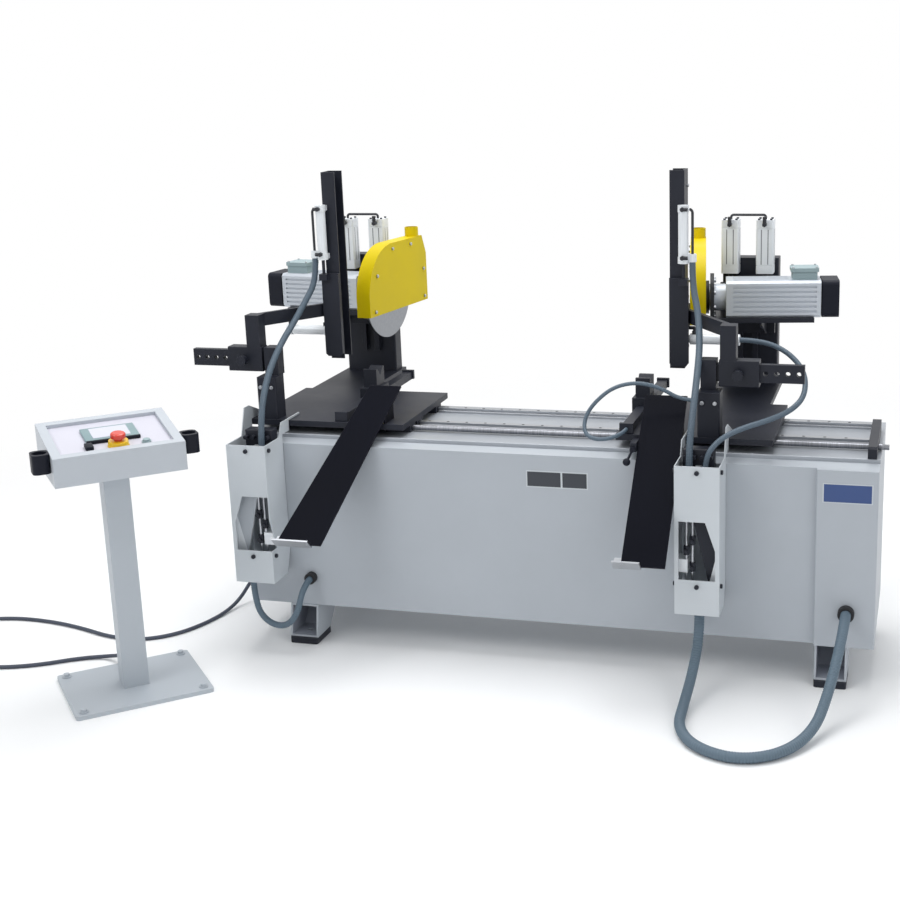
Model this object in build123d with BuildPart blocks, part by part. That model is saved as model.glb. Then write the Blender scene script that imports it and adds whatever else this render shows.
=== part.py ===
from build123d import *
import math
import os
from dataclasses import dataclass

os.makedirs("parts", exist_ok=True)

# Chair leg sizing machine: a double-end trim saw on one long base. The left head is fixed, the right head
# slides along the bed. Millimetres, +X right along the base, +Y to the back, +Z up, the origin on the floor
# amid the four anchor holes.

# Fits
SLIDE_GAP = 0.4  # between faces that slide past each other
RUNNING_FIT = 0.05  # radial, a shaft in its bearing
CLEAR = 2.0  # between pieces that pass without touching

# Feet and base cabinet
FOOT_SPAN_Y = 402.0
FOOT_WIDTH = 91.0
FOOT_SOLE = 98.0
FOOT_HEIGHT = 103.0
FOOT_WALL = 6.0
FOOT_RUNBACK = 92.0
FOOT_LEAN = 17.0
PAD_LENGTH = 114.0
PAD_HEIGHT = 20.0
ANCHOR_HOLE = 14.0
BASE_LENGTH = 1900.0
BASE_DEPTH = 460.0
BASE_HEIGHT = 525.0
BASE_WALL = 5.0
TOP_WALL = 13.0
LEFT_OVERHANG = 169.0
RIGHT_OVERHANG = 119.0
NOSE_DEPTH = 40.0
NOSE_DROP = 8.0
BED_SETBACK = 44.0
BED_THICK = 12.0
COLUMN_WIDTH = 168.0
COLUMN_PROUD = 16.0

FOOT_SPAN_X = BASE_LENGTH - LEFT_OVERHANG - RIGHT_OVERHANG
BASE_LEFT = -FOOT_SPAN_X / 2 - LEFT_OVERHANG
BASE_RIGHT = BASE_LEFT + BASE_LENGTH
BASE_FRONT = -BASE_DEPTH / 2
BASE_BACK = BASE_DEPTH / 2
BASE_BOTTOM = PAD_HEIGHT + FOOT_HEIGHT
BASE_TOP = BASE_BOTTOM + BASE_HEIGHT
BED_FRONT = BASE_FRONT + BED_SETBACK
BED_TOP = BASE_TOP + BED_THICK

# Rails and lead screw
RAIL_WIDTH = 20.0
RAIL_HEIGHT = 16.0
RAIL_GROOVE = 2.5
FRONT_RAIL_Y = -30.0
REAR_RAIL_Y = 150.0
SCREW_Y = -95.0
SCREW_DIA = 16.0
SCREW_LIFT = 11.0
JOURNAL_DIA = 11.0
JOURNAL_LENGTH = 18.0
SCREW_TAIL = 30.0
END_PLATE_THICK = 25.0
END_PLATE_INSET = 10.0
END_PLATE_HEIGHT = 34.0
END_PLATE_DEPTH = 323.0

SCREW_Z = BED_TOP + SCREW_LIFT
END_PLATE_X1 = BASE_RIGHT - END_PLATE_INSET
END_PLATE_X0 = END_PLATE_X1 - END_PLATE_THICK

# Head plates
PLATE_THICK = 18.0
PLATE_RISE = 22.0
PLATE_FRONT = -180.0
PLATE_BACK = 245.0
TAIL_BACK = 615.0
TAIL_WIDTH = 200.0
RIB_THICK = 8.0
RIB_DEPTH = 80.0
BLOCK_LENGTH = 80.0
BLOCK_WIDTH = 50.0
NUT_LENGTH = 70.0
NUT_WIDTH = 46.0

PLATE_BOTTOM = BED_TOP + PLATE_RISE
HEAD_TOP = PLATE_BOTTOM + PLATE_THICK

# Towers in front of the base
TOWER_WIDTH = 126.0
TOWER_FRONT = -358.0
TOWER_GAP = 3.0
TOWER_BOTTOM = 232.0
TOWER_TOP = 664.0
TOWER_WALL = 3.0
WINDOW_BOTTOM = 335.0
WINDOW_TOP = 505.0
WINDOW_MARGIN = 12.0
WINDOW_CHAMFER_U = 28.0
WINDOW_CHAMFER_Z = 82.0
SIDE_CUT_DEPTH = 37.0
SIDE_CUT_RISE = 105.0
MANIFOLD_TOP = 620.0
MANIFOLD_HEIGHT = 45.0
MANIFOLD_WIDTH = 102.0
EAR_TOP = 745.0
EAR_BACK = -100.0
STRIP_RISE = 6.0

# Chutes
CHUTE_LOW_Y = -480.0
CHUTE_LOW_Z = 410.0
CHUTE_TOP_Y = -100.0
CHUTE_TOP_Z = 800.0
CHUTE_THICK = 5.0
STOP_THICK = 5.0
STOP_RISE = 30.0
STOP_FLANGE = 25.0

# Magazine: column, perforated bar, gallows, post
POST_DEPTH = 65.0
POST_WIDTH = 44.0
POST_WALL = 5.0
POST_FRONT = 82.0
POST_BOTTOM = 841.0
POST_TOP = 1429.0
POST_OUTER_U = -42.0
MAG_COLUMN_U0 = 36.0
MAG_COLUMN_U1 = 100.0
MAG_COLUMN_FRONT = -178.0
MAG_COLUMN_DEPTH = 64.0
MAG_COLUMN_TOP = 830.0
BAR_FRONT = -132.0
BAR_THICK = 20.0
BAR_BOTTOM = 853.0
BAR_HEIGHT = 52.0
BAR_END_U = 330.0
BAR_HOLE = 14.0
BAR_PITCH = 31.0
LUG_U0 = 40.0
LUG_U1 = 84.0
SLEEVE_WALL = 12.0
SLEEVE_LENGTH = 113.0
SLEEVE_START = 8.0
GALLOWS_TOP = 1016.0
ARM_HEIGHT = 40.0
ARM_THICK = 14.0
GATE_WIDTH = 57.0
GATE_THICK = 12.0
GATE_BOTTOM = 850.0
GATE_TOP = 1115.0
GATE_CYL_DIA = 30.0
GATE_CYL_Y = 62.0
GATE_CYL_BOTTOM = 1160.0
GATE_CYL_TOP = 1330.0
SMALL_ROD = 10.0
ESCAPE_Z = 925.0
ESCAPE_LENGTH = 148.0
ESCAPE_NOSE = 12.0
ESCAPE_DIA = 30.0

POST_Y = POST_FRONT + POST_DEPTH / 2
POST_INNER_U = POST_OUTER_U - POST_WIDTH
SLEEVE_U0 = LUG_U1 + SLEEVE_START
SLEEVE_U1 = SLEEVE_U0 + SLEEVE_LENGTH
SLEEVE_BOTTOM = BAR_BOTTOM - SLEEVE_WALL
SLEEVE_TOP = BAR_BOTTOM + BAR_HEIGHT + SLEEVE_WALL
SLEEVE_FRONT = BAR_FRONT - SLEEVE_WALL
SLEEVE_BACK = BAR_FRONT + BAR_THICK + SLEEVE_WALL

# Feed slides
FEED_U = -170.0
GUIDE_WIDTH = 30.0
GUIDE_HEIGHT = 24.0
GUIDE_FRONT = -160.0
GUIDE_BACK = 425.0
CAP_LENGTH = 12.0
CAP_WIDTH = 40.0
CAP_HEIGHT = 30.0
SLIDE_WIDTH = 60.0
SLIDE_LENGTH = 100.0
SLIDE_TOP = 748.0
JAW_WIDTH = 44.0
JAW_LENGTH = 69.0
JAW_TOP = 807.0
VEE_WIDTH = 48.0
VEE_DEPTH = 24.0

# Saw units, drawn square to the base and then turned, their backs towards the middle
TOE_IN = 8.5  # degrees
TOE_Y = 200.0
SAW_Y = 365.5
SAW_Z = 1009.5
BLADE_DIA = 300.0
BLADE_THICK = 3.0
BLADE_TEETH = 36
TOOTH_DEPTH = 7.0
ARBOR_DIA = 24.0
ARBOR_LENGTH = 28.0
FLANGE_DIA = 80.0
FLANGE_THICK = 4.5
GUARD_WIDTH = 49.0
GUARD_WALL = 3.0
GUARD_RADIUS = 165.0
GUARD_BACK = 600.0
GUARD_BOTTOM = 950.0
SPIGOT_DIA = 46.0
SPIGOT_WALL = 2.5
SPIGOT_Y = 548.0
SPIGOT_TOP = 1205.0
MOTOR_SIDE = 115.0
MOTOR_FLANGE = 104.0
MOTOR_FLANGE_THICK = 10.0
MOTOR_NECK = 62.0
NECK_DIA = 84.0
BACKING_W0 = 13.0
BACKING_THICK = 12.0
BACKING_WIDTH = 150.0
MOTOR_LENGTH = 290.0
FIN_COUNT = 6
FIN_GROOVE = 6.0
FIN_DEPTH = 5.0
FAN_LENGTH = 55.0
FAN_SIDE = 119.0
FAN_RADIUS = 14.0
TERMINAL_SETBACK = 203.0
TERMINAL_LENGTH = 76.0
TERMINAL_DEPTH = 70.0
TERMINAL_HEIGHT = 24.0
LID_HEIGHT = 12.0
LID_LIP = 5.0
TABLE_THICK = 14.0
SAW_COLUMN_W0 = 3.0
SAW_COLUMN_WIDTH = 180.0
SAW_COLUMN_FRONT = 545.0
SAW_COLUMN_DEPTH = 60.0
SAW_COLUMN_TOP = 1110.0
SAW_COLUMN_WALL = 8.0
SAW_RAIL_WIDTH = 16.0
SAW_RAIL_HEIGHT = 18.0
SAW_RAIL_1 = 62.0
SAW_RAIL_2 = 108.0
SAW_RAIL_BOTTOM = 775.0
SAW_RAIL_TOP = 1035.0
CYL_SIDE = 55.0
CYL_BOTTOM = 1066.0
CYL_TOP = 1237.0
CYL_BORE = 40.0
CYL_GLAND = 16.0
CYL_ROD = 16.0
CYL_1 = 30.0
CYL_2 = 140.0
AIR_LINE = 8.0
AIR_LINE_RISE = 14.0
BACK_PLATE_THICK = 18.0
BACK_PLATE_TOP = 1040.0
BACK_PLATE_BOTTOM = 880.0
TRUCK_WIDTH = 36.0

MOTOR_BOTTOM = SAW_Z - MOTOR_SIDE / 2
MOTOR_W1 = MOTOR_NECK + MOTOR_LENGTH
TERMINAL_W0 = MOTOR_NECK + TERMINAL_SETBACK
CYL_Y = SAW_COLUMN_FRONT - CYL_SIDE / 2
BACK_PLATE_BACK = SAW_COLUMN_FRONT - CYL_SIDE - 5.0
BACK_PLATE_FRONT = BACK_PLATE_BACK - BACK_PLATE_THICK
BLADE_W = -GUARD_WIDTH / 2

# Clamp lever of the moving head
LEVER_GAP = 11.0  # from the chute's inner edge
LEVER_REACH = 6.0  # the bracket's, in front of the base
LEVER_BRACKET = 18.0
LEVER_Z = 672.0
LEVER_PIN = 8.0
LEVER_HUB = 16.0
LEVER_BALL = 22.0

# Control pedestal
PED_SETOFF = 196.0  # from the base's left end
PED_Y = -652.0
PED_TURN = 42.0
PED_PLATE_LENGTH = 390.0
PED_PLATE_DEPTH = 325.0
PED_PLATE_THICK = 12.0
PED_TUBE = 72.0
PED_TUBE_WALL = 3.0
CONSOLE_BOTTOM = 668.0
CONSOLE_WIDTH = 360.0
CONSOLE_DEPTH = 275.0
CONSOLE_FRONT_Z = 750.0
CONSOLE_BACK_Z = 790.0
CONSOLE_WALL = 5.0
PANEL_MARGIN = 26.0
PANEL_THICK = 3.0
PANEL_SINK = 10.0
ESTOP_X = 8.0
ESTOP_Y = -80.0
ESTOP_DIA = 42.0
ESTOP_STEM = 22.0
ESTOP_COLLAR = 60.0
ESTOP_COLLAR_HEIGHT = 16.0
ESTOP_CAP = 14.0
ESTOP_GAP = 9.0
SHROUD_LENGTH = 62.0
SHROUD_WIDTH = 48.0
SHROUD_HEIGHT = 54.0
SHROUD_RISE = 8.0
SHROUD_SETBACK = 60.0
SHROUD_RADIUS = 16.0
START_DIA = 32.0
START_POCKET = 24.0

# Cords: outside diameters
FLOOR_HOSE = 30.0
TOWER_HOSE = 20.0
CABLE = 12.0
POST_HOSE = 20.0
LOOP_HOSE = 16.0
FEED_HOSE = 12.0
GLAND_LENGTH = 20.0
GLAND_WALL = 8.0
TOWER_HOSE_Z = 213.0
TOWER_HOSE_X = BASE_LEFT + 199.0
FLOOR_HOSE_X = BASE_RIGHT - 79.0
FLOOR_HOSE_Z = 227.0
CABLE_EXIT_Y = 60.0
CABLE_EXIT_Z = 170.0
CABLE_ENTRY_Z = 58.0
HOSE_HOLE = 31.0
HOSE_Y = -303.0


@dataclass(frozen=True)
class Head:
    """One trimming head: where it stands and which way its outside faces."""

    name: str
    side: int  # +1 where outwards is +X
    tower_x: float  # inner wall of the tower
    saw_x: float  # outer face of the saw guard
    plate_in: float  # plate edges, outwards from tower_x
    plate_out: float
    chute_low: tuple  # chute edges at its lower and upper end, outwards from tower_x
    chute_top: tuple
    chute_ribs: tuple
    stop: tuple
    hose_u: float

    def x(self, u):
        """A place measured outwards from the tower's inner wall."""
        return self.tower_x + self.side * u

    def w(self, w):
        """A place measured outwards from the saw guard."""
        return self.saw_x + self.side * w

    def toed_in(self, piece):
        """A piece of the saw unit turned about the front of its guard."""
        pivot = Axis((self.w(-GUARD_WIDTH / 2), TOE_Y, 0), (0, 0, 1))
        return piece.rotate(pivot, self.side * TOE_IN)


LEFT = Head(
    name="left",
    side=-1,
    tower_x=BASE_LEFT + 133.0,
    saw_x=BASE_LEFT + 221.0,
    plate_in=-372.0,
    plate_out=128.0,
    chute_low=(-74.0, -213.0),
    chute_top=(-242.0, -342.0),
    chute_ribs=(-248.0, -310.0),
    stop=(-70.0, -184.0),
    hose_u=98.0,
)
RIGHT = Head(
    name="right",
    side=1,
    tower_x=BASE_RIGHT - 545.0,
    saw_x=BASE_RIGHT - 541.0,
    plate_in=-200.0,
    plate_out=250.0,
    chute_low=(-4.0, -127.0),
    chute_top=(-4.0, -127.0),
    chute_ribs=(-13.0, -117.0),
    stop=(-70.0, -148.0),
    hose_u=63.0,
)
HEADS = (LEFT, RIGHT)


def block(x0, x1, y0, y1, z0, z1, mode=Mode.ADD):
    """A block between two opposite corners, given in either order."""
    with Locations(((x0 + x1) / 2, (y0 + y1) / 2, (z0 + z1) / 2)):
        Box(abs(x1 - x0), abs(y1 - y0), abs(z1 - z0), mode=mode)


def bar_x(x0, x1, y, z, dia, mode=Mode.ADD):
    """A round bar along X."""
    with Locations(Location(((x0 + x1) / 2, y, z), (0, 90, 0))):
        Cylinder(dia / 2, abs(x1 - x0), mode=mode)


def bar_y(y0, y1, x, z, dia, mode=Mode.ADD):
    """A round bar along Y."""
    with Locations(Location((x, (y0 + y1) / 2, z), (90, 0, 0))):
        Cylinder(dia / 2, abs(y1 - y0), mode=mode)


def bar_z(z0, z1, x, y, dia, mode=Mode.ADD):
    """A round bar along Z."""
    with Locations((x, y, (z0 + z1) / 2)):
        Cylinder(dia / 2, abs(z1 - z0), mode=mode)


def side_plane(x):
    """A plane across the base: its own axes are Y and Z, its normal +X."""
    return Plane(origin=(x, 0, 0), x_dir=(0, 1, 0), z_dir=(1, 0, 0))


def front_plane(y):
    """A plane along the base: its own axes are X and Z, its normal -Y."""
    return Plane(origin=(0, y, 0), x_dir=(1, 0, 0), z_dir=(0, -1, 0))


def side_prism(x0, x1, points, mode=Mode.ADD):
    """An outline in Y and Z drawn out between two places along X."""
    with BuildSketch(side_plane(min(x0, x1))) as outline:
        with BuildLine():
            Polyline(*points, close=True)
        make_face()
    extrude(outline.sketch, amount=abs(x1 - x0), mode=mode)


def save(made, name, unit=None):
    """Labels a finished piece, turned first if it belongs to a head's saw unit, and writes it out."""
    piece = unit.toed_in(made.part) if unit else made.part
    piece.label = name
    export_step(piece, f"parts/{name}.step")


def hose(points, dia):
    """A round hose along straight runs that tangent bends join.

    Each bend takes 45% of the shorter run beside it.
    """
    at = [Vector(*p) for p in points]
    radii = []
    for before, here, after in zip(at, at[1:], at[2:]):
        turn = math.radians((here - before).get_angle(after - here))
        run = min((here - before).length, (after - here).length)
        radii.append(0.45 * run / math.tan(turn / 2))
    with BuildLine() as route:
        FilletPolyline(*at, radius=radii)
    line = route.wire()
    with BuildSketch(Plane(origin=line @ 0, z_dir=line % 0)) as section:
        Circle(dia / 2)
    sweep(section.sketch, path=line)
    print("hose", dia, "length", round(line.length), "tightest bend", round(min(radii)))
    return math.pi * dia * dia / 4 * line.length


# Base
with BuildPart() as base_cabinet:
    with BuildSketch(side_plane(BASE_LEFT)):
        with BuildLine():
            Polyline(
                (BASE_FRONT, BASE_BOTTOM),
                (BASE_FRONT, BASE_TOP - NOSE_DROP),
                (BASE_FRONT + NOSE_DEPTH, BASE_TOP),
                (BASE_BACK, BASE_TOP),
                (BASE_BACK, BASE_BOTTOM),
                close=True,
            )
        make_face()
    extrude(amount=BASE_LENGTH)
    block(BASE_LEFT + BASE_WALL, BASE_RIGHT - BASE_WALL, BASE_FRONT + BASE_WALL, BASE_BACK - BASE_WALL,
          BASE_BOTTOM + BASE_WALL, BASE_TOP - TOP_WALL, mode=Mode.SUBTRACT)
save(base_cabinet, "base_cabinet")

with BuildPart() as end_column:
    block(BASE_RIGHT - COLUMN_WIDTH, BASE_RIGHT, BASE_FRONT - COLUMN_PROUD, BASE_FRONT,
          BASE_BOTTOM, BASE_TOP - NOSE_DROP)
    fillet(end_column.edges().filter_by(Axis.Z).group_by(Axis.Y)[0], radius=5)
save(end_column, "end_column")

with BuildPart() as bed_plate:
    block(BASE_LEFT, BASE_RIGHT, BED_FRONT, BASE_BACK, BASE_TOP, BED_TOP)
    chamfer(bed_plate.edges().filter_by(Axis.X).group_by(Axis.Y)[0].sort_by(Axis.Z)[-1], length=2)
save(bed_plate, "bed_plate")

SLANT = FOOT_RUNBACK / FOOT_HEIGHT
SLANT_WALL = FOOT_WALL * math.hypot(FOOT_RUNBACK, FOOT_HEIGHT) / FOOT_HEIGHT
with BuildPart() as foot_brackets:
    for across in (-1, 1):
        for along in (-1, 1):
            front = FOOT_SPAN_Y / 2 + FOOT_SOLE / 2
            heel = front - FOOT_SOLE
            foot_x = across * FOOT_SPAN_X / 2
            z0 = PAD_HEIGHT + FOOT_WALL
            z1 = BASE_BOTTOM - FOOT_WALL
            side_prism(foot_x - FOOT_WIDTH / 2, foot_x + FOOT_WIDTH / 2, [
                (along * front, PAD_HEIGHT),
                (along * heel, PAD_HEIGHT),
                (along * (heel - FOOT_RUNBACK), BASE_BOTTOM),
                (along * (front - FOOT_LEAN), BASE_BOTTOM),
            ])
            side_prism(foot_x - FOOT_WIDTH / 2 + FOOT_WALL, foot_x + FOOT_WIDTH / 2 - FOOT_WALL, [
                (along * (front + CLEAR), z0),
                (along * (heel - FOOT_WALL * SLANT + SLANT_WALL), z0),
                (along * (heel - (FOOT_HEIGHT - FOOT_WALL) * SLANT + SLANT_WALL), z1),
                (along * (front + CLEAR), z1),
            ], mode=Mode.SUBTRACT)
            bar_z(PAD_HEIGHT - CLEAR, z0 + CLEAR, foot_x, along * FOOT_SPAN_Y / 2, ANCHOR_HOLE,
                  mode=Mode.SUBTRACT)
save(foot_brackets, "foot_brackets")

with BuildPart() as foot_pads:
    with GridLocations(FOOT_SPAN_X, FOOT_SPAN_Y, 2, 2):
        with Locations((0, 0, PAD_HEIGHT / 2)):
            Box(FOOT_WIDTH, PAD_LENGTH, PAD_HEIGHT)
    fillet(foot_pads.edges().filter_by(Axis.Z), radius=8)
    with GridLocations(FOOT_SPAN_X, FOOT_SPAN_Y, 2, 2):
        with Locations((0, 0, PAD_HEIGHT / 2)):
            Cylinder(ANCHOR_HOLE / 2, PAD_HEIGHT + CLEAR, mode=Mode.SUBTRACT)
save(foot_pads, "foot_pads")

# Bed: rails, screw and their end plate
RAIL_X0 = LEFT.x(LEFT.plate_in) + CLEAR
RAIL_X1 = END_PLATE_X0 - CLEAR
with BuildPart() as linear_rails:
    for rail_y in (FRONT_RAIL_Y, REAR_RAIL_Y):
        half = RAIL_WIDTH / 2
        waist = half - RAIL_GROOVE
        third = RAIL_HEIGHT / 3
        side_prism(RAIL_X0, RAIL_X1, [
            (rail_y - half, BED_TOP),
            (rail_y + half, BED_TOP),
            (rail_y + half, BED_TOP + third),
            (rail_y + waist, BED_TOP + RAIL_HEIGHT / 2),
            (rail_y + half, BED_TOP + 2 * third),
            (rail_y + half, BED_TOP + RAIL_HEIGHT),
            (rail_y - half, BED_TOP + RAIL_HEIGHT),
            (rail_y - half, BED_TOP + 2 * third),
            (rail_y - waist, BED_TOP + RAIL_HEIGHT / 2),
            (rail_y - half, BED_TOP + third),
        ])
save(linear_rails, "linear_rails")

with BuildPart() as rail_end_plate:
    block(END_PLATE_X0, END_PLATE_X1, BED_FRONT, BED_FRONT + END_PLATE_DEPTH, BED_TOP,
          BED_TOP + END_PLATE_HEIGHT)
    chamfer(rail_end_plate.edges().filter_by(Axis.X).group_by(Axis.Z)[-1], length=6)
    bar_x(END_PLATE_X0 - CLEAR, END_PLATE_X1 + CLEAR, SCREW_Y, SCREW_Z, SCREW_DIA + 2 * RUNNING_FIT,
          mode=Mode.SUBTRACT)
save(rail_end_plate, "rail_end_plate")

SCREW_X0 = LEFT.x(LEFT.plate_in) + CLEAR
SCREW_X1 = END_PLATE_X1 + SCREW_TAIL
with BuildPart() as lead_screw:
    bar_x(SCREW_X0, SCREW_X1 - 18, SCREW_Y, SCREW_Z, SCREW_DIA)
    bar_x(SCREW_X0 - JOURNAL_LENGTH, SCREW_X0, SCREW_Y, SCREW_Z, JOURNAL_DIA)
    bar_x(END_PLATE_X1 + CLEAR, END_PLATE_X1 + CLEAR + 8, SCREW_Y, SCREW_Z, SCREW_DIA + 4)
    with BuildSketch(side_plane(SCREW_X1 - 18)):
        with Locations((SCREW_Y, SCREW_Z)):
            RegularPolygon(SCREW_DIA / 2, 6)
    extrude(amount=18)
save(lead_screw, "lead_screw")


def head_plate(head):
    """The plate that a head stands on, with its tail behind the base and the ribs below that."""
    block(head.x(head.plate_in), head.x(head.plate_out), PLATE_FRONT, PLATE_BACK, PLATE_BOTTOM, HEAD_TOP)
    tail = SAW_COLUMN_W0 - (TAIL_WIDTH - SAW_COLUMN_WIDTH) / 2
    block(head.w(tail), head.w(tail + TAIL_WIDTH), PLATE_BACK, TAIL_BACK, PLATE_BOTTOM, HEAD_TOP)
    for rib in (tail + 24, tail + TAIL_WIDTH - 24 - RIB_THICK):
        side_prism(head.w(rib), head.w(rib + RIB_THICK), [
            (BASE_BACK + 2 * CLEAR, PLATE_BOTTOM),
            (BASE_BACK + 2 * CLEAR, PLATE_BOTTOM - RIB_DEPTH),
            (PLATE_BACK + RIB_DEPTH, PLATE_BOTTOM - RIB_DEPTH),
            (TAIL_BACK - 10, PLATE_BOTTOM - RIB_DEPTH / 4),
            (TAIL_BACK - 10, PLATE_BOTTOM),
        ])


with BuildPart() as left_head_bed:
    head_plate(LEFT)
    for rail_y in (FRONT_RAIL_Y, REAR_RAIL_Y):
        block(LEFT.x(LEFT.plate_in), LEFT.x(LEFT.plate_out), rail_y - BLOCK_WIDTH / 2,
              rail_y + BLOCK_WIDTH / 2, BED_TOP, PLATE_BOTTOM)
    block(LEFT.x(LEFT.plate_in), LEFT.x(LEFT.plate_in) - BLOCK_LENGTH, SCREW_Y - NUT_WIDTH / 2,
          SCREW_Y + NUT_WIDTH / 2, BED_TOP, PLATE_BOTTOM)
    bar_x(LEFT.x(LEFT.plate_in) + CLEAR, SCREW_X0 - JOURNAL_LENGTH - CLEAR, SCREW_Y, SCREW_Z,
          JOURNAL_DIA + 2 * RUNNING_FIT, mode=Mode.SUBTRACT)
save(left_head_bed, "left_head_bed")

LEVER_X = RIGHT.x(RIGHT.chute_low[1]) - LEVER_GAP
LEVER_BRACKET_FRONT = BASE_FRONT - LEVER_REACH
with BuildPart() as right_carriage:
    head_plate(RIGHT)
    block_x = (RIGHT.x(RIGHT.plate_in) + 20, RIGHT.x(RIGHT.plate_out) - 20 - BLOCK_LENGTH)
    for rail_y in (FRONT_RAIL_Y, REAR_RAIL_Y):
        for x0 in block_x:
            block(x0, x0 + BLOCK_LENGTH, rail_y - BLOCK_WIDTH / 2, rail_y + BLOCK_WIDTH / 2,
                  BED_TOP + CLEAR, PLATE_BOTTOM)
            block(x0 - CLEAR, x0 + BLOCK_LENGTH + CLEAR, rail_y - RAIL_WIDTH / 2 - SLIDE_GAP,
                  rail_y + RAIL_WIDTH / 2 + SLIDE_GAP, BED_TOP, BED_TOP + RAIL_HEIGHT + SLIDE_GAP,
                  mode=Mode.SUBTRACT)
    nut_x = (RIGHT.x(RIGHT.plate_in) + RIGHT.x(RIGHT.plate_out)) / 2
    block(nut_x - NUT_LENGTH / 2, nut_x + NUT_LENGTH / 2, SCREW_Y - NUT_WIDTH / 2, SCREW_Y + NUT_WIDTH / 2,
          BED_TOP + 1, PLATE_BOTTOM)
    bar_x(nut_x - NUT_LENGTH, nut_x + NUT_LENGTH, SCREW_Y, SCREW_Z, SCREW_DIA + 2 * RUNNING_FIT,
          mode=Mode.SUBTRACT)
    block(LEVER_X - LEVER_BRACKET / 2, LEVER_X + LEVER_BRACKET / 2, LEVER_BRACKET_FRONT, PLATE_FRONT,
          BED_TOP + 3, PLATE_BOTTOM + 8)
    bar_y(LEVER_BRACKET_FRONT - CLEAR, LEVER_BRACKET_FRONT + 13, LEVER_X, LEVER_Z,
          LEVER_PIN + 2 * RUNNING_FIT, mode=Mode.SUBTRACT)
save(right_carriage, "right_carriage")

LEVER_HUB_Y = LEVER_BRACKET_FRONT - SLIDE_GAP
BALL = Vector(LEVER_X - 14, LEVER_BRACKET_FRONT - 24, LEVER_Z - 32)
with BuildPart() as carriage_clamp_lever:
    bar_y(LEVER_HUB_Y, LEVER_HUB_Y - 10, LEVER_X, LEVER_Z, LEVER_HUB)
    bar_y(LEVER_HUB_Y - 5, LEVER_HUB_Y + 10, LEVER_X, LEVER_Z, LEVER_PIN)
    root = Vector(LEVER_X, LEVER_HUB_Y - 6, LEVER_Z)
    with BuildSketch(Plane(origin=root, z_dir=BALL - root)):
        Circle(3.5)
    extrude(amount=(BALL - root).length)
    with Locations(BALL):
        Sphere(LEVER_BALL / 2)
save(carriage_clamp_lever, "carriage_clamp_lever")

# Heads
CHUTE_RUN = CHUTE_TOP_Y - CHUTE_LOW_Y
CHUTE_LIFT = CHUTE_TOP_Z - CHUTE_LOW_Z
CHUTE_LENGTH = math.hypot(CHUTE_RUN, CHUTE_LIFT)
CHUTE_COS = CHUTE_RUN / CHUTE_LENGTH
CHUTE_SIN = CHUTE_LIFT / CHUTE_LENGTH


def on_chute(along, above):
    """Y and Z of a place along a chute from its lower end, and square to its upper face."""
    return (
        CHUTE_LOW_Y + along * CHUTE_COS - above * CHUTE_SIN,
        CHUTE_LOW_Z + along * CHUTE_SIN + above * CHUTE_COS,
    )


def below_chute(y):
    """Height of a chute's middle layer at a depth."""
    return CHUTE_LOW_Z + (y - CHUTE_LOW_Y) * CHUTE_SIN / CHUTE_COS - CHUTE_THICK / 2 / CHUTE_COS


def guard_outline(inset, drop):
    """The guard's side: an arc over the blade and a slope down to the back."""
    r = GUARD_RADIUS - inset
    turn = r * math.sqrt(0.5)
    with BuildLine() as edge:
        front = Line((SAW_Y - r, GUARD_BOTTOM - drop), (SAW_Y - r, SAW_Z))
        crown = ThreePointArc(front @ 1, (SAW_Y - turn, SAW_Z + turn), (SAW_Y, SAW_Z + r))
        Polyline(
            crown @ 1,
            (SPIGOT_Y + 26, SAW_Z + r),
            (GUARD_BACK - inset, SAW_Z + r - 62),
            (GUARD_BACK - inset, GUARD_BOTTOM - drop),
            front @ 0,
        )
    make_face(edge.edges())


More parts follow.
